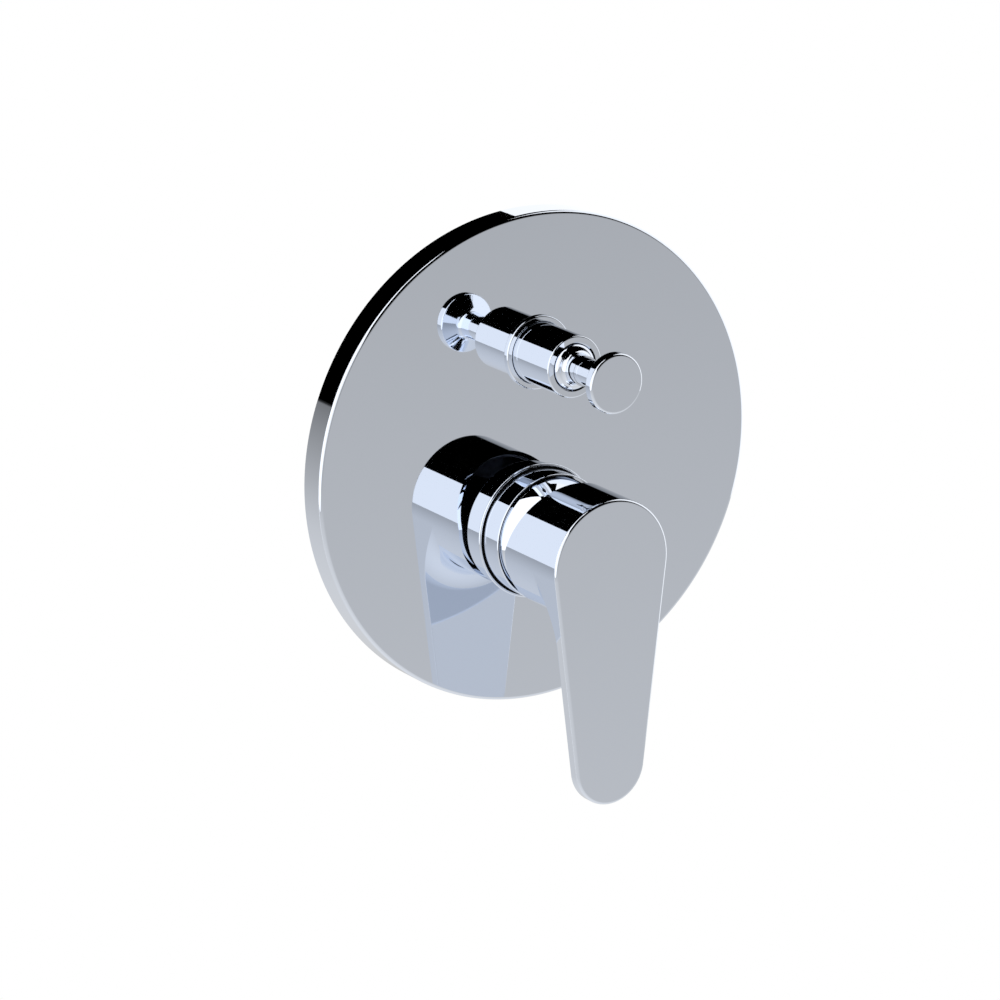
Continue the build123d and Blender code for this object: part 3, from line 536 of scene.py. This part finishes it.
def plated_plug(look):
    """Chrome plate on a moulded plug: a mirror like the lever's, a little softer and with sink marks."""
    material, tree, shader, place = new_material("plated_plastic_plug")
    shader.inputs["Base Color"].default_value = (*look.plug, 1.0)
    shader.inputs["Metallic"].default_value = 1.0
    sink = add_node(tree, "ShaderNodeTexNoise", {"Vector": place, "Scale": per(2.5), "Detail": 1.0})
    dull = add_node(tree, "ShaderNodeMapRange", {
        "Value": sink.outputs["Fac"], "To Min": 0.05, "To Max": 0.12})
    bump = add_node(tree, "ShaderNodeBump", {
        "Height": sink.outputs["Fac"], "Strength": 0.5, "Distance": 0.01 * MM})
    tree.links.new(dull.outputs["Result"], shader.inputs["Roughness"])
    tree.links.new(bump.outputs["Normal"], shader.inputs["Normal"])
    return material


def shared(finish):
    """A finish that several operators use, named like its function and made when it is first asked for."""
    return bpy.data.materials.get(finish.__name__) or finish(bpy.context.scene.mixer_look)


class MIXER_OT_cover_plate(bpy.types.Operator):
    """Drawn cover plate: deep rim, flat mirror face and a lip around each hole."""
    bl_idname = "mixer.cover_plate"
    bl_label = "Cover plate"

    def execute(self, context):
        size = context.scene.mixer_sizes
        skin = Skin()
        segments, hole_segments = 320, 160
        radius, rear = PLATE_HIGH.x, PLATE_HIGH.y
        face, back = -size.plate_depth, -size.plate_depth + size.plate_wall
        # Inside this radius the face is filled around its holes, and outside it is turned with the rim
        flat_radius = radius * 0.75
        turn(skin, strips([
            (flat_radius, face),
            (radius, face, size.plate_edge),
            (radius, rear),
            (radius - size.plate_wall, rear),
            (radius - size.plate_wall, back),
            (flat_radius, back),
        ], closed=False), 0.0, segments)
        # Each hole's height, radius, lip width and lip; the upper lip is rolled in over its rubber ring
        collar_front, tube_front = face - size.collar_lip_height, face - size.tube_lip_height
        tube_mouth = TUBE_HIGH.x + size.tube_lip_gap
        holes = [
            (LEVER_Z, size.collar_hole, size.collar_lip_width, [
                (size.collar_hole + size.collar_lip_width, collar_front, size.collar_lip_edge),
                (size.collar_hole, collar_front, size.collar_lip_edge),
            ]),
            (DIVERTER_Z, size.tube_hole, size.tube_lip_width, [
                (size.tube_hole + size.tube_lip_width, tube_front, size.tube_lip_edge),
                (tube_mouth, tube_front, size.tube_lip_edge / 2),
                (tube_mouth, RING_LOW.y),
                (size.tube_hole, RING_LOW.y),
            ]),
        ]
        for height, hole, width, lip in holes:
            profile = [(hole + width, face), *lip, (hole, back)]
            turn(skin, strips(profile, closed=False), height, hole_segments)
        outside = circle_points(flat_radius, 0.0, segments)
        fronts = [circle_points(hole + width, height, hole_segments) for height, hole, width, _ in holes]
        backs = [circle_points(hole, height, hole_segments) for height, hole, _, _ in holes]
        skin.flat([outside, *fronts], lambda x, z: (x, face, z), (0, -1, 0))
        skin.flat([outside, *backs], lambda x, z: (x, back, z), (0, 1, 0))
        skin.piece("cover_plate_skin", "body", [shared(polished_chrome_plate)], "chrome", "cover_plate")
        return {"FINISHED"}


class MIXER_OT_collar(bpy.types.Operator):
    """Collar between plate and hub, with the dome that the hub slides over, and its rubber ring."""
    bl_idname = "mixer.collar"
    bl_label = "Collar"

    def execute(self, context):
        size = context.scene.mixer_sizes
        segments, dome_steps = 192, 24
        chrome, rubber = shared(polished_chrome_plate), shared(moulded_nitrile_rubber)
        skin = Skin()
        radius, rear = COLLAR_HIGH.x, COLLAR_HIGH.y
        front = -size.plate_depth - size.collar_reach
        floor = front + size.groove_depth
        inside = size.dome_radius - size.dome_wall
        foot_angle = math.acos((PIVOT_Y - floor) / size.dome_radius)
        root_angle = math.asin(size.collar_bore / inside)
        root_y = PIVOT_Y - inside * math.cos(root_angle)
        stretches = strips([
            (size.dome_radius * math.sin(foot_angle), floor),
            (radius - size.collar_rim, floor),
            (radius - size.collar_rim, front),
            (radius, front, size.collar_edge),
            (radius, rear),
            (size.collar_bore, rear),
            (size.collar_bore, root_y),
        ], closed=False)
        for ball, first, sign in ((size.dome_radius, foot_angle, 1), (inside, root_angle, -1)):
            angles = [first + (size.dome_mouth - first) * k / dome_steps for k in range(dome_steps + 1)]
            stretches.append([
                (ball * math.sin(a), PIVOT_Y - ball * math.cos(a), sign * math.sin(a), -sign * math.cos(a))
                for a in angles])
        s, c = math.sin(size.dome_mouth), math.cos(size.dome_mouth)
        stretches.append([(ball * s, PIVOT_Y - ball * c, -c, -s) for ball in (size.dome_radius, inside)])
        turn(skin, stretches, LEVER_Z, segments)
        skin.piece("cartridge_collar", "body", [chrome], "chrome", "cartridge_sleeve")

        # The rubber ring in the plate swells over the rounded inner edge of the lip
        seal, seal_front, seal_rear = SEAL_HIGH.x, SEAL_LOW.y, SEAL_HIGH.y
        head, head_round = size.seal_head, size.seal_head / 2
        lip_front = -size.plate_depth - size.collar_lip_height
        skin = Skin()
        turn(skin, strips([
            (radius, seal_front),
            (radius + head / 2, lip_front, head_round),
            (seal + head, lip_front, head_round),
            (seal, seal_front + head),
            (seal, seal_rear),
            (radius, seal_rear),
        ]), LEVER_Z, segments)
        skin.piece("collar_rubber_ring", "body", [rubber], "rubber", "cartridge_sleeve_seal")
        return {"FINISHED"}


class LeverForm:
    """Measures, outlines and curves that the parts of the lever casting share."""

    def __init__(self, size):
        self.size = size
        self.hub, self.web, self.edge = LEVER_HIGH.x, size.web_radius, size.lever_edge
        self.front, self.rear = LEVER_LOW.y, LEVER_HIGH.y
        self.web_end = self.front + size.paddle_thickness + self.web
        self.lean = size.hub_slant / self.hub
        tip_z = LEVER_LOW.z + size.tip_radius
        tangent = math.pi / 2 + math.asin((self.hub - size.tip_radius) / (LEVER_Z - tip_z))
        line_steps, tip_steps, hub_steps = 60, 96, 144
        # Points of the straight sides crowd towards the hub, where the web curves most
        crowding = 1.6

        # The paddle's outline, from the right tangent point down around the tip, and the hub's above it
        start = self.on_arc(LEVER_Z, self.hub, tangent)
        end = self.on_arc(tip_z, size.tip_radius, tangent)
        right = []
        for k in range(line_steps):
            t = (k / line_steps) ** crowding
            right.append(tuple(a + (b - a) * t for a, b in zip(start, end)))
        tip = [self.on_arc(tip_z, size.tip_radius, tangent + (2 * math.pi - 2 * tangent) * k / tip_steps)
               for k in range(tip_steps + 1)]
        left = [(-x, z, -nx, nz) for x, z, nx, nz in reversed(right)]
        self.paddle = right + tip + left
        slant_starts = [-math.pi / 2, math.pi / 2]
        self.upper_bearings = sorted(slant_starts + [
            -tangent + 2 * tangent * k / hub_steps for k in range(hub_steps + 1)])
        upper = [self.on_arc(LEVER_Z, self.hub, bearing) for bearing in self.upper_bearings]
        self.around = self.paddle[:-1] + upper[:-1]

        # The paddle's back edge is rounded, and its round fades out where the web runs into the hub
        self.rounds = [size.back_edge * min(1.0, (self.far(x, z) - self.hub) / self.web)
                       for x, z, _, _ in self.paddle]
        self.inner = [(x - nx * cut, z - nz * cut) for (x, z, nx, nz), cut in zip(self.paddle, self.rounds)]
        self.lower_bearings = [math.atan2(x, z - LEVER_Z) % (2 * math.pi) for x, z in self.inner]

    def on_arc(self, centre, radius, bearing):
        """Point and normal of an arc around a height: (x, z, normal x, normal z)."""
        s, c = math.sin(bearing), math.cos(bearing)
        return (radius * s, centre + radius * c, s, c)

    def far(self, x, z):
        """Distance from the hub's axis, or the hub's radius where that is more."""
        return max(self.hub, math.hypot(x, z - LEVER_Z))

    def web_y(self, far):
        """Back of the web and of the paddle at a distance from the hub's axis."""
        rise = max(0.0, self.hub + self.web - far)
        return self.web_end - math.sqrt(max(0.0, self.web * self.web - rise * rise))

    def web_normal(self, way, far):
        """Normal of that back, in a direction from the hub's axis."""
        rise = max(0.0, self.hub + self.web - far) / self.web
        return way * rise + Vector((0, math.sqrt(max(0.0, 1 - rise * rise)), 0))

    def side(self, bearing, y):
        """Point and normal of the hub's side."""
        s, c = math.sin(bearing), math.cos(bearing)
        return ((self.hub * s, y, LEVER_Z + self.hub * c), (s, 0, c))

    def rear_y(self, radius, cosine):
        """Rear end of the hub, square below and slanted above."""
        return self.rear - self.lean * max(0.0, radius * cosine)


def lever_front(skin, form):
    """Front face of hub and paddle, and its rounded edge."""
    edge, edge_steps = form.edge, 12
    inset = [(x - nx * edge, z - nz * edge) for x, z, nx, nz in form.around]
    skin.flat([inset], lambda x, z: (x, form.front, z), (0, -1, 0))
    rows = []
    for k in range(edge_steps + 1):
        bend = math.pi / 2 * k / edge_steps
        out, along = math.sin(bend), math.cos(bend)
        rows.append([(
            (x - nx * edge * (1 - out), form.front + edge * (1 - along), z - nz * edge * (1 - out)),
            (nx * out, -along, nz * out),
        ) for x, z, nx, nz in form.around])
    skin.grid(rows, closed=True)


def paddle_sides(skin, form):
    """Sides of the paddle, and the round between them and its back."""
    round_steps = 6
    side_rows = [[], []]
    round_rows = [[] for _ in range(round_steps + 1)]
    for (x, z, nx, nz), (ix, iz), cut in zip(form.paddle, form.inner, form.rounds):
        back = form.web_y(form.far(ix, iz))
        out, way = Vector((nx, 0, nz)), Vector((ix, 0, iz - LEVER_Z))
        behind = form.web_normal(way.normalized(), way.length)
        start, corner, end = (Vector(p) for p in ((x, back - cut, z), (x, back, z), (ix, back, iz)))
        side_rows[0].append(((x, form.front + form.edge, z), out))
        side_rows[1].append((start, out))
        for k, row in enumerate(round_rows):
            t = k / round_steps
            place = start * (1 - t) ** 2 + corner * (2 * t * (1 - t)) + end * t ** 2
            row.append((place, out.lerp(behind, t)))
    skin.grid(side_rows)
    skin.grid(round_rows)


def paddle_back(skin, form):
    """Back of the paddle: the web's hollow, then the flat."""
    web_steps, flat_steps = 24, 3
    web_rows = [[] for _ in range(web_steps + 1)]
    flat_rows = [[] for _ in range(flat_steps + 1)]
    for x, z in form.inner:
        far = form.far(x, z)
        way = Vector((x, 0, z - LEVER_Z)).normalized()
        web_far = min(far, form.hub + form.web)
        for k, row in enumerate(web_rows):
            at = form.hub + (web_far - form.hub) * (1 - math.cos(math.pi / 2 * k / web_steps))
            row.append(((way.x * at, form.web_y(at), LEVER_Z + way.z * at), form.web_normal(way, at)))
        for k, row in enumerate(flat_rows):
            at = web_far + (far - web_far) * k / flat_steps
            row.append(((way.x * at, form.web_y(at), LEVER_Z + way.z * at), (0, 1, 0)))
    skin.grid(web_rows)
    skin.grid(flat_rows)


def hub_side(skin, form):
    """Side of the hub, with the hole of the set screw at the bottom."""
    hub, bearings = form.hub, form.lower_bearings
    skin.grid([
        [form.side(bearing, form.front + form.edge) for bearing in form.upper_bearings],
        [form.side(bearing, form.rear_y(hub, math.cos(bearing))) for bearing in form.upper_bearings],
    ])

    # Below, a square patch is left out of the grid for the hole, and a ring of faces fills it again
    hole, hole_y = (CAP_HIGH.x - CAP_LOW.x) / 2, (CAP_LOW.y + CAP_HIGH.y) / 2
    patch, patch_steps = hole * 1.6, 24
    inside = [i for i, bearing in enumerate(bearings) if abs(bearing - math.pi) * hub < patch]
    first, last = inside[0], inside[-1]
    levels = [hole_y - patch + 2 * patch * k / patch_steps for k in range(patch_steps + 1)]
    spans = [form.web_end, *levels, form.rear]
    for i in range(len(bearings) - 1):
        for k in range(len(spans) - 1):
            if first <= i < last and 0 < k <= patch_steps:
                continue
            corners = ((i, k), (i + 1, k), (i + 1, k + 1), (i, k + 1))
            skin.face([form.side(bearings[a], spans[b]) for a, b in corners])
    edges = [(bearing, levels[0]) for bearing in bearings[first:last]]
    edges += [(bearings[last], y) for y in levels[:-1]]
    edges += [(bearing, levels[-1]) for bearing in reversed(bearings[first + 1:last + 1])]
    edges += [(bearings[first], y) for y in reversed(levels[1:])]
    rows = []
    for t in (0.0, 0.5, 1.0):
        row = []
        for bearing, y in edges:
            u, v = (bearing - math.pi) * hub, y - hole_y
            near = 1 + (hole / math.hypot(u, v) - 1) * t
            row.append(form.side(math.pi + u * near / hub, hole_y + v * near))
        rows.append(row)
    skin.grid(rows, closed=True)
    mouth_z = LEVER_Z - hub + form.size.hub_mouth_wall
    wall_rows = [[], []]
    for (x, y, z), _ in rows[-1]:
        inward = Vector((-x, hole_y - y, 0)).normalized()
        wall_rows[0].append(((x, y, z), inward))
        wall_rows[1].append(((x, y, mouth_z), inward))
    skin.grid(wall_rows, closed=True)


def hub_inside(skin, form):
    """Rear end of the hub and its unbuffed inside, with the boss and its square socket."""
    size, hub, boss = form.size, form.hub, form.size.boss_radius
    mouth, cavity = hub - size.hub_mouth_wall, hub - size.hub_wall
    mouth_y, cavity_y = form.rear - size.hub_mouth_depth, form.front + size.hub_face
    boss_y = cavity_y + size.boss_length
    socket_y = boss_y - size.socket_depth
    ways = [(math.sin(b), math.cos(b)) for b in form.lower_bearings[:-1] + form.upper_bearings[:-1]]
    slope = Vector((0, 1, form.lean)).normalized()
    for (s0, c0), (s1, c1) in zip(ways, ways[1:] + ways[:1]):
        normal = slope if c0 + c1 > 0 else (0, 1, 0)
        skin.face([((r * s, form.rear_y(r, c), LEVER_Z + r * c), normal)
                   for r, s, c in ((hub, s0, c0), (hub, s1, c1), (mouth, s1, c1), (mouth, s0, c0))])

    def level(radius, y, out, along):
        return [((radius * s, y, LEVER_Z + radius * c), (out * s, along, out * c)) for s, c in ways]

    # The inside takes the second material, which paints the shade in the hub's hollow
    skin.coat = 1
    skin.grid([
        [((mouth * s, form.rear_y(mouth, c), LEVER_Z + mouth * c), (-s, 0, -c)) for s, c in ways],
        level(mouth, mouth_y, -1, 0),
    ], closed=True)
    skin.grid([level(mouth, mouth_y, 0, 1), level(cavity, mouth_y, 0, 1)], closed=True)
    skin.grid([level(cavity, mouth_y, -1, 0), level(cavity, cavity_y, -1, 0)], closed=True)
    skin.grid([level(cavity, cavity_y, 0, 1), level(boss, cavity_y, 0, 1)], closed=True)
    skin.grid([level(boss, cavity_y, 1, 0), level(boss, boss_y, 1, 0)], closed=True)
    half = size.socket_side / 2
    signs = ((-1, -1), (1, -1), (1, 1), (-1, 1))
    corners = [(x * half, LEVER_Z + z * half) for x, z in signs]
    rim = [(boss * s, LEVER_Z + boss * c) for s, c in ways]
    skin.flat([rim, corners], lambda x, z: (x, boss_y, z), (0, 1, 0))
    for (x0, z0), (x1, z1) in zip(corners, corners[1:] + corners[:1]):
        normal = (-(x0 + x1), 0, 2 * LEVER_Z - z0 - z1)
        skin.face([((x, y, z), normal) for x, y, z in (
            (x0, boss_y, z0), (x1, boss_y, z1), (x1, socket_y, z1), (x0, socket_y, z0))])
    skin.flat([corners], lambda x, z: (x, socket_y, z), (0, 1, 0))


class MIXER_OT_lever(bpy.types.Operator):
    """Lever casting: slanted hollow hub, tapered paddle and the hollow web between them."""
    bl_idname = "mixer.lever"
    bl_label = "Lever"

    def execute(self, context):
        form = LeverForm(context.scene.mixer_sizes)
        skin = Skin()
        for part in (lever_front, paddle_sides, paddle_back, hub_side, hub_inside):
            part(skin, form)
        coats = [shared(polished_chrome_plate), plated_casting(context.scene.mixer_look)]
        skin.piece("lever_casting", "lever", coats, "chrome", "lever")
        return {"FINISHED"}


class MIXER_OT_diverter(bpy.types.Operator):
    """Diverter outside: tube, flared bush and spool-shaped pull knob."""
    bl_idname = "mixer.diverter"
    bl_label = "Diverter"

    def execute(self, context):
        size = context.scene.mixer_sizes
        chrome = shared(polished_chrome_plate)
        round_steps, segments = 14, 160
        tube, tube_front, tube_rear = TUBE_HIGH.x, TUBE_LOW.y, TUBE_HIGH.y
        bush_bore = size.stem_radius + size.stem_gap
        neck = bush_bore + size.neck_wall
        flare = size.tube_bore - size.flare_gap
        knob, knob_front, stem_rear = KNOB_HIGH.x, KNOB_LOW.y, KNOB_HIGH.y
        rim = knob_front + size.knob_rim
        hole = stem_rear - size.knob_hole
        outlines = {
            "diverter_tube": ("diverter_sleeve", "body", [
                (size.tube_bore, tube_front),
                (tube, tube_front, size.tube_edge),
                (tube, tube_rear),
                (size.tube_bore, tube_rear),
            ]),
            "diverter_flared_bush": ("diverter_bush", "body", [
                (bush_bore, BUSH_LOW.y),
                (neck, BUSH_LOW.y),
                (neck, tube_front - size.flare_rise - size.flare_height, size.flare_root),
                (flare, tube_front - size.flare_rise, size.flare_edge),
                (flare, tube_front + size.flare_land),
                (size.tube_bore, tube_front + size.flare_land),
                (size.tube_bore, BUSH_HIGH.y),
                (bush_bore, BUSH_HIGH.y),
            ]),
            "diverter_pull_knob": ("diverter_knob", "diverter", [
                (0.0, knob_front),
                (knob, knob_front, size.knob_edge),
                (knob, rim, size.knob_rear_edge),
                (size.stem_radius, rim + size.knob_cone, size.knob_root),
                (size.stem_radius, stem_rear),
                (size.spindle_radius, stem_rear),
                (size.spindle_radius, hole),
                (0.0, hole),
            ]),
        }
        for name, (node, body, outline) in outlines.items():
            skin = Skin()
            turn(skin, strips(outline, round_steps), DIVERTER_Z, segments)
            skin.piece(name, body, [chrome], "chrome", node)
        return {"FINISHED"}


class MIXER_OT_threads(bpy.types.Operator):
    """Pipe threads in the four sockets of the valve body."""
    bl_idname = "mixer.threads"
    bl_label = "Pipe threads"

    def execute(self, context):
        size = context.scene.mixer_sizes
        per_turn = 48
        # The thread's profile: a shift along the pitch and a share of the height
        sides = [(-0.42, 0.0), (-0.08, 1.0), (0.08, 1.0), (0.42, 0.0)]
        for name in ("hot_inlet", "cold_inlet", "top_outlet", "bottom_outlet"):
            mount = MOUNTS[name]
            mouth, out = Vector(mount["pos_m"]), Vector(mount["axis"])
            bore = mount["dims"]["r_mm"] * MM
            deep = mount["dims"]["length_mm"] * MM
            one = out.orthogonal().normalized()
            two = out.cross(one)
            skin = Skin()
            turns = (deep - 2 * size.thread_pitch) / size.thread_pitch
            steps = int(turns * per_turn)
            rows = []
            for k in range(steps + 1):
                around = 2 * math.pi * k / per_turn
                # The crest fades in and out over the first and last quarter of a turn
                fade = min(1.0, 4 * k / per_turn, 4 * (steps - k) / per_turn)
                way = one * math.cos(around) + two * math.sin(around)
                along = size.thread_pitch * (1 + k / per_turn)
                row = []
                for shift, crest in sides:
                    depth = along + shift * size.thread_pitch
                    radius = bore - size.thread_height * crest * fade
                    row.append(mouth - out * depth + way * radius)
                rows.append((row, way))
            for (upper, way), (lower, _) in zip(rows, rows[1:]):
                for i in range(len(sides) - 1):
                    corners = [upper[i], upper[i + 1], lower[i + 1], lower[i]]
                    normal = (corners[1] - corners[0]).cross(corners[3] - corners[0])
                    if normal.length < 1e-14:
                        continue
                    if normal.dot(way) > 0:
                        normal.negate()
                    skin.face([(c, normal) for c in corners])
            skin.piece(name + "_thread", "body", [shared(turned_brass)], "brass")
        return {"FINISHED"}


class MIXER_OT_inside(bpy.types.Operator):
    """Finishes of the seals, the cartridge, the diverter's inside and the valve body."""
    bl_idname = "mixer.inside"
    bl_label = "Seals, cartridge and body"

    def execute(self, context):
        look = context.scene.mixer_look
        chrome = shared(polished_chrome_plate)
        rubber = shared(moulded_nitrile_rubber)
        brass = shared(turned_brass)
        steel = plain_steel(look)
        white = moulded_acetal("moulded_white_acetal", look.white_acetal, linear("#d8d6cd"))
        black = moulded_acetal("moulded_black_acetal", look.black_acetal, linear("#1d1e20"))
        alumina = lapped_alumina(look)
        finishes = {
            "cover_plate": chrome,
            "cartridge_sleeve": chrome,
            "lever": chrome,
            "diverter_sleeve": chrome,
            "diverter_bush": chrome,
            "diverter_knob": chrome,
            "plate_gasket": cell_foam(look),
            "set_screw_cap": plated_plug(look),
            "lever_set_screw": steel,
            "cartridge_pin": steel,
            "cartridge_spindle": die_cast_zinc(look),
            "cartridge_rotor": white,
            "cartridge_housing": white,
            "cartridge_base": white,
            "disc_carrier": black,
            "moving_disc": alumina,
            "fixed_disc": alumina,
            "valve_body": sand_cast_brass(look),
            "cartridge_nut": brass,
            "diverter_bonnet": brass,
            "diverter_spindle": brass,
            "diverter_piston": brass,
        }
        for name, node in frame["nodes"].items():
            node.data.materials.clear()
            node.data.materials.append(finishes.get(name, rubber))
        return {"FINISHED"}


def toward(azimuth, elevation):
    """Direction from the mixer, with azimuth 0 in front of it and positive to its right."""
    return Vector((
        math.cos(elevation) * math.sin(azimuth),
        -math.cos(elevation) * math.cos(azimuth),
        math.sin(elevation),
    ))


def level_edge(slope, facing):
    """Elevation of a panel's level edge by azimuth; slope is its rise at the azimuth that it faces."""
    return lambda azimuth: math.atan(slope * math.cos(azimuth - math.radians(facing)))


def softbox(name, azimuths, low, high, material, far=3.0):
    """A curved light panel around the mixer; low and high give its edges' elevation by azimuth."""
    across, up = 48, 24
    points, faces, places = [], [], []
    for j in range(up + 1):
        for i in range(across + 1):
            u, v = i / across, j / up
            azimuth = math.radians(azimuths[0] + (azimuths[1] - azimuths[0]) * u)
            elevation = low(azimuth) + (high(azimuth) - low(azimuth)) * v
            points.append(toward(azimuth, elevation) * far)
            places.append((u, v))
    for j in range(up):
        for i in range(across):
            a = j * (across + 1) + i
            faces.append((a, a + 1, a + across + 2, a + across + 1))
    mesh = bpy.data.meshes.new(name)
    mesh.from_pydata(points, [], faces)
    layer = mesh.uv_layers.new(name="panel")
    for loop in mesh.loops:
        layer.data[loop.index].uv = places[loop.vertex_index]
    mesh.materials.append(material)
    panel = bpy.data.objects.new(name, mesh)
    bpy.context.scene.collection.objects.link(panel)
    panel.visible_camera = False


def lamp_cloth(name, strength, across):
    """Lit white cloth of a softbox, or paper of the floor, with its falloff from edge to edge."""
    material = bpy.data.materials.new(name)
    material.use_nodes = True
    tree = material.node_tree
    tree.nodes.clear()
    place = add_node(tree, "ShaderNodeTexCoord")
    axes = add_node(tree, "ShaderNodeSeparateXYZ", {"Vector": place.outputs["UV"]})
    ramp = add_node(tree, "ShaderNodeValToRGB", {"Fac": axes.outputs["X"]}, stops=[
        (at, (shade, shade, shade)) for at, shade in across])
    glow = add_node(tree, "ShaderNodeEmission", {"Color": ramp.outputs["Color"], "Strength": strength})
    add_node(tree, "ShaderNodeOutputMaterial", {"Surface": glow.outputs["Emission"]})
    return material


def light_panels(stage):
    """Softboxes on both sides, as the chrome mirrors them, and a low screen behind."""
    key, side = stage.key_light, stage.side_light
    even, fading = [(0.0, 1.0), (1.0, 1.0)], [(0.0, 1.0), (0.15, 0.78), (1.0, 0.77)]
    # Azimuths in degrees, slope and facing of the lower and of the upper edge, brightness, falloff
    panels = {
        "front_softbox": ((-45, -13), (-0.358, -90), (1.1, -90), key, fading),
        "left_softbox": ((-135, -45), (-0.4, -90), (4.33, -32), key, even),
        "top_softbox": ((-45, -15), (1.8, -32), (4.33, -32), key, even),
        "right_softbox": ((60, 134), (-0.45, 90), (2.25, 55), side, even),
        "rear_softbox": ((134, 151.5), (-0.45, 90), (0.6, 100), side, even),
        "back_screen": ((138, 178), (-0.9, 90), (-0.45, 90), stage.back_light, even),
    }
    for name, (azimuths, low, high, strength, across) in panels.items():
        cloth = lamp_cloth(name + "_cloth", strength, across)
        softbox(name, azimuths, level_edge(*low), level_edge(*high), cloth)


def white_room(scene):
    """Pure white for the camera; reflections see a grey glow from below that ends in a dark ceiling."""
    scene.world = scene.world or bpy.data.worlds.new("studio")
    scene.world.use_nodes = True
    tree = scene.world.node_tree
    tree.nodes.clear()
    place = add_node(tree, "ShaderNodeTexCoord")
    axes = add_node(tree, "ShaderNodeSeparateXYZ", {"Vector": place.outputs["Generated"]})
    height = add_node(tree, "ShaderNodeMapRange", {
        "Value": axes.outputs["Z"], "From Min": -1.0, "From Max": 1.0})
    # Brightness by the height that a reflection looks at, from straight down to straight up
    glow = [
        (-1.0, 0.8), (-0.575, 0.68), (-0.42, 0.61), (-0.335, 0.545), (-0.28, 0.5), (-0.225, 0.45),
        (0.0, 0.293), (0.113, 0.2), (0.118, 0.0), (1.0, 0.0),
    ]
    ramp = add_node(tree, "ShaderNodeValToRGB", {"Fac": height.outputs["Result"]}, stops=[
        ((z + 1) / 2, (shade, shade, shade)) for z, shade in glow])
    room = add_node(tree, "ShaderNodeBackground", {"Color": ramp.outputs["Color"]})
    sheet = add_node(tree, "ShaderNodeBackground", {"Color": (1.0, 1.0, 1.0, 1.0)})
    ray = add_node(tree, "ShaderNodeLightPath")
    mixed = add_node(tree, "ShaderNodeMixShader", {
        0: ray.outputs["Is Camera Ray"], 1: room.outputs["Background"], 2: sheet.outputs["Background"]})
    add_node(tree, "ShaderNodeOutputWorld", {"Surface": mixed.outputs["Shader"]})


def pale_floor(scene, drop):
    """A wide pale disc that only the camera sees, as evenly lit as the white behind it."""
    radius, segments = 6.0, 96
    ring = [(x, y, -drop) for x, y in circle_points(radius, 0.0, segments)]
    mesh = bpy.data.meshes.new("studio_floor")
    mesh.from_pydata(ring, [], [list(range(segments))])
    mesh.materials.append(lamp_cloth("pale_floor_paper", 1.0, [(0.0, 1.0), (1.0, 1.0)]))
    floor = bpy.data.objects.new("studio_floor", mesh)
    scene.collection.objects.link(floor)
    floor.visible_glossy = False
    floor.visible_diffuse = False


def photo_camera(scene, stage):
    """The photograph's camera."""
    lens = bpy.data.cameras.new("photo_camera")
    lens.lens = stage.focal
    lens.shift_x = stage.shift_x
    lens.shift_y = stage.shift_y
    camera = bpy.data.objects.new("photo_camera", lens)
    scene.collection.objects.link(camera)
    camera.location = toward(stage.azimuth, stage.elevation) * stage.distance
    camera.rotation_euler = (-camera.location).to_track_quat("-Z", "Y").to_euler()
    scene.camera = camera


class MIXER_OT_stage(bpy.types.Operator):
    """White studio with softboxes on both sides, a pale floor and the photograph's camera."""
    bl_idname = "mixer.stage"
    bl_label = "Studio"

    def execute(self, context):
        scene = context.scene
        scene.view_settings.view_transform = "Standard"
        light_panels(scene.mixer_stage)
        white_room(scene)
        pale_floor(scene, scene.mixer_stage.floor_drop)
        photo_camera(scene, scene.mixer_stage)
        return {"FINISHED"}


class MIXER_PT_panel(bpy.types.Panel):
    """Steps that dress the mixer, in order."""
    bl_idname = "MIXER_PT_panel"
    bl_label = "Shower mixer"
    bl_space_type = "VIEW_3D"
    bl_region_type = "UI"
    bl_category = "Mixer"

    def draw(self, context):
        for step in STEPS:
            self.layout.operator(step.bl_idname)


STEPS = (
    MIXER_OT_stage,
    MIXER_OT_inside,
    MIXER_OT_cover_plate,
    MIXER_OT_collar,
    MIXER_OT_lever,
    MIXER_OT_diverter,
    MIXER_OT_threads,
)
GROUPS = {"mixer_sizes": MixerSizes, "mixer_look": MixerLook, "mixer_stage": MixerStage}


def register():
    for group in (*GROUPS.values(), *STEPS, MIXER_PT_panel):
        bpy.utils.register_class(group)
    for name, group in GROUPS.items():
        setattr(bpy.types.Scene, name, bpy.props.PointerProperty(type=group))


def unregister():
    for name in GROUPS:
        delattr(bpy.types.Scene, name)
    for group in (MIXER_PT_panel, *reversed(STEPS), *GROUPS.values()):
        bpy.utils.unregister_class(group)


def main():
    register()
    bpy.ops.mixer.stage()
    bpy.ops.mixer.inside()
    bpy.ops.mixer.cover_plate()
    bpy.ops.mixer.collar()
    bpy.ops.mixer.lever()
    bpy.ops.mixer.diverter()
    bpy.ops.mixer.threads()


if __name__ == "__main__":
    main()
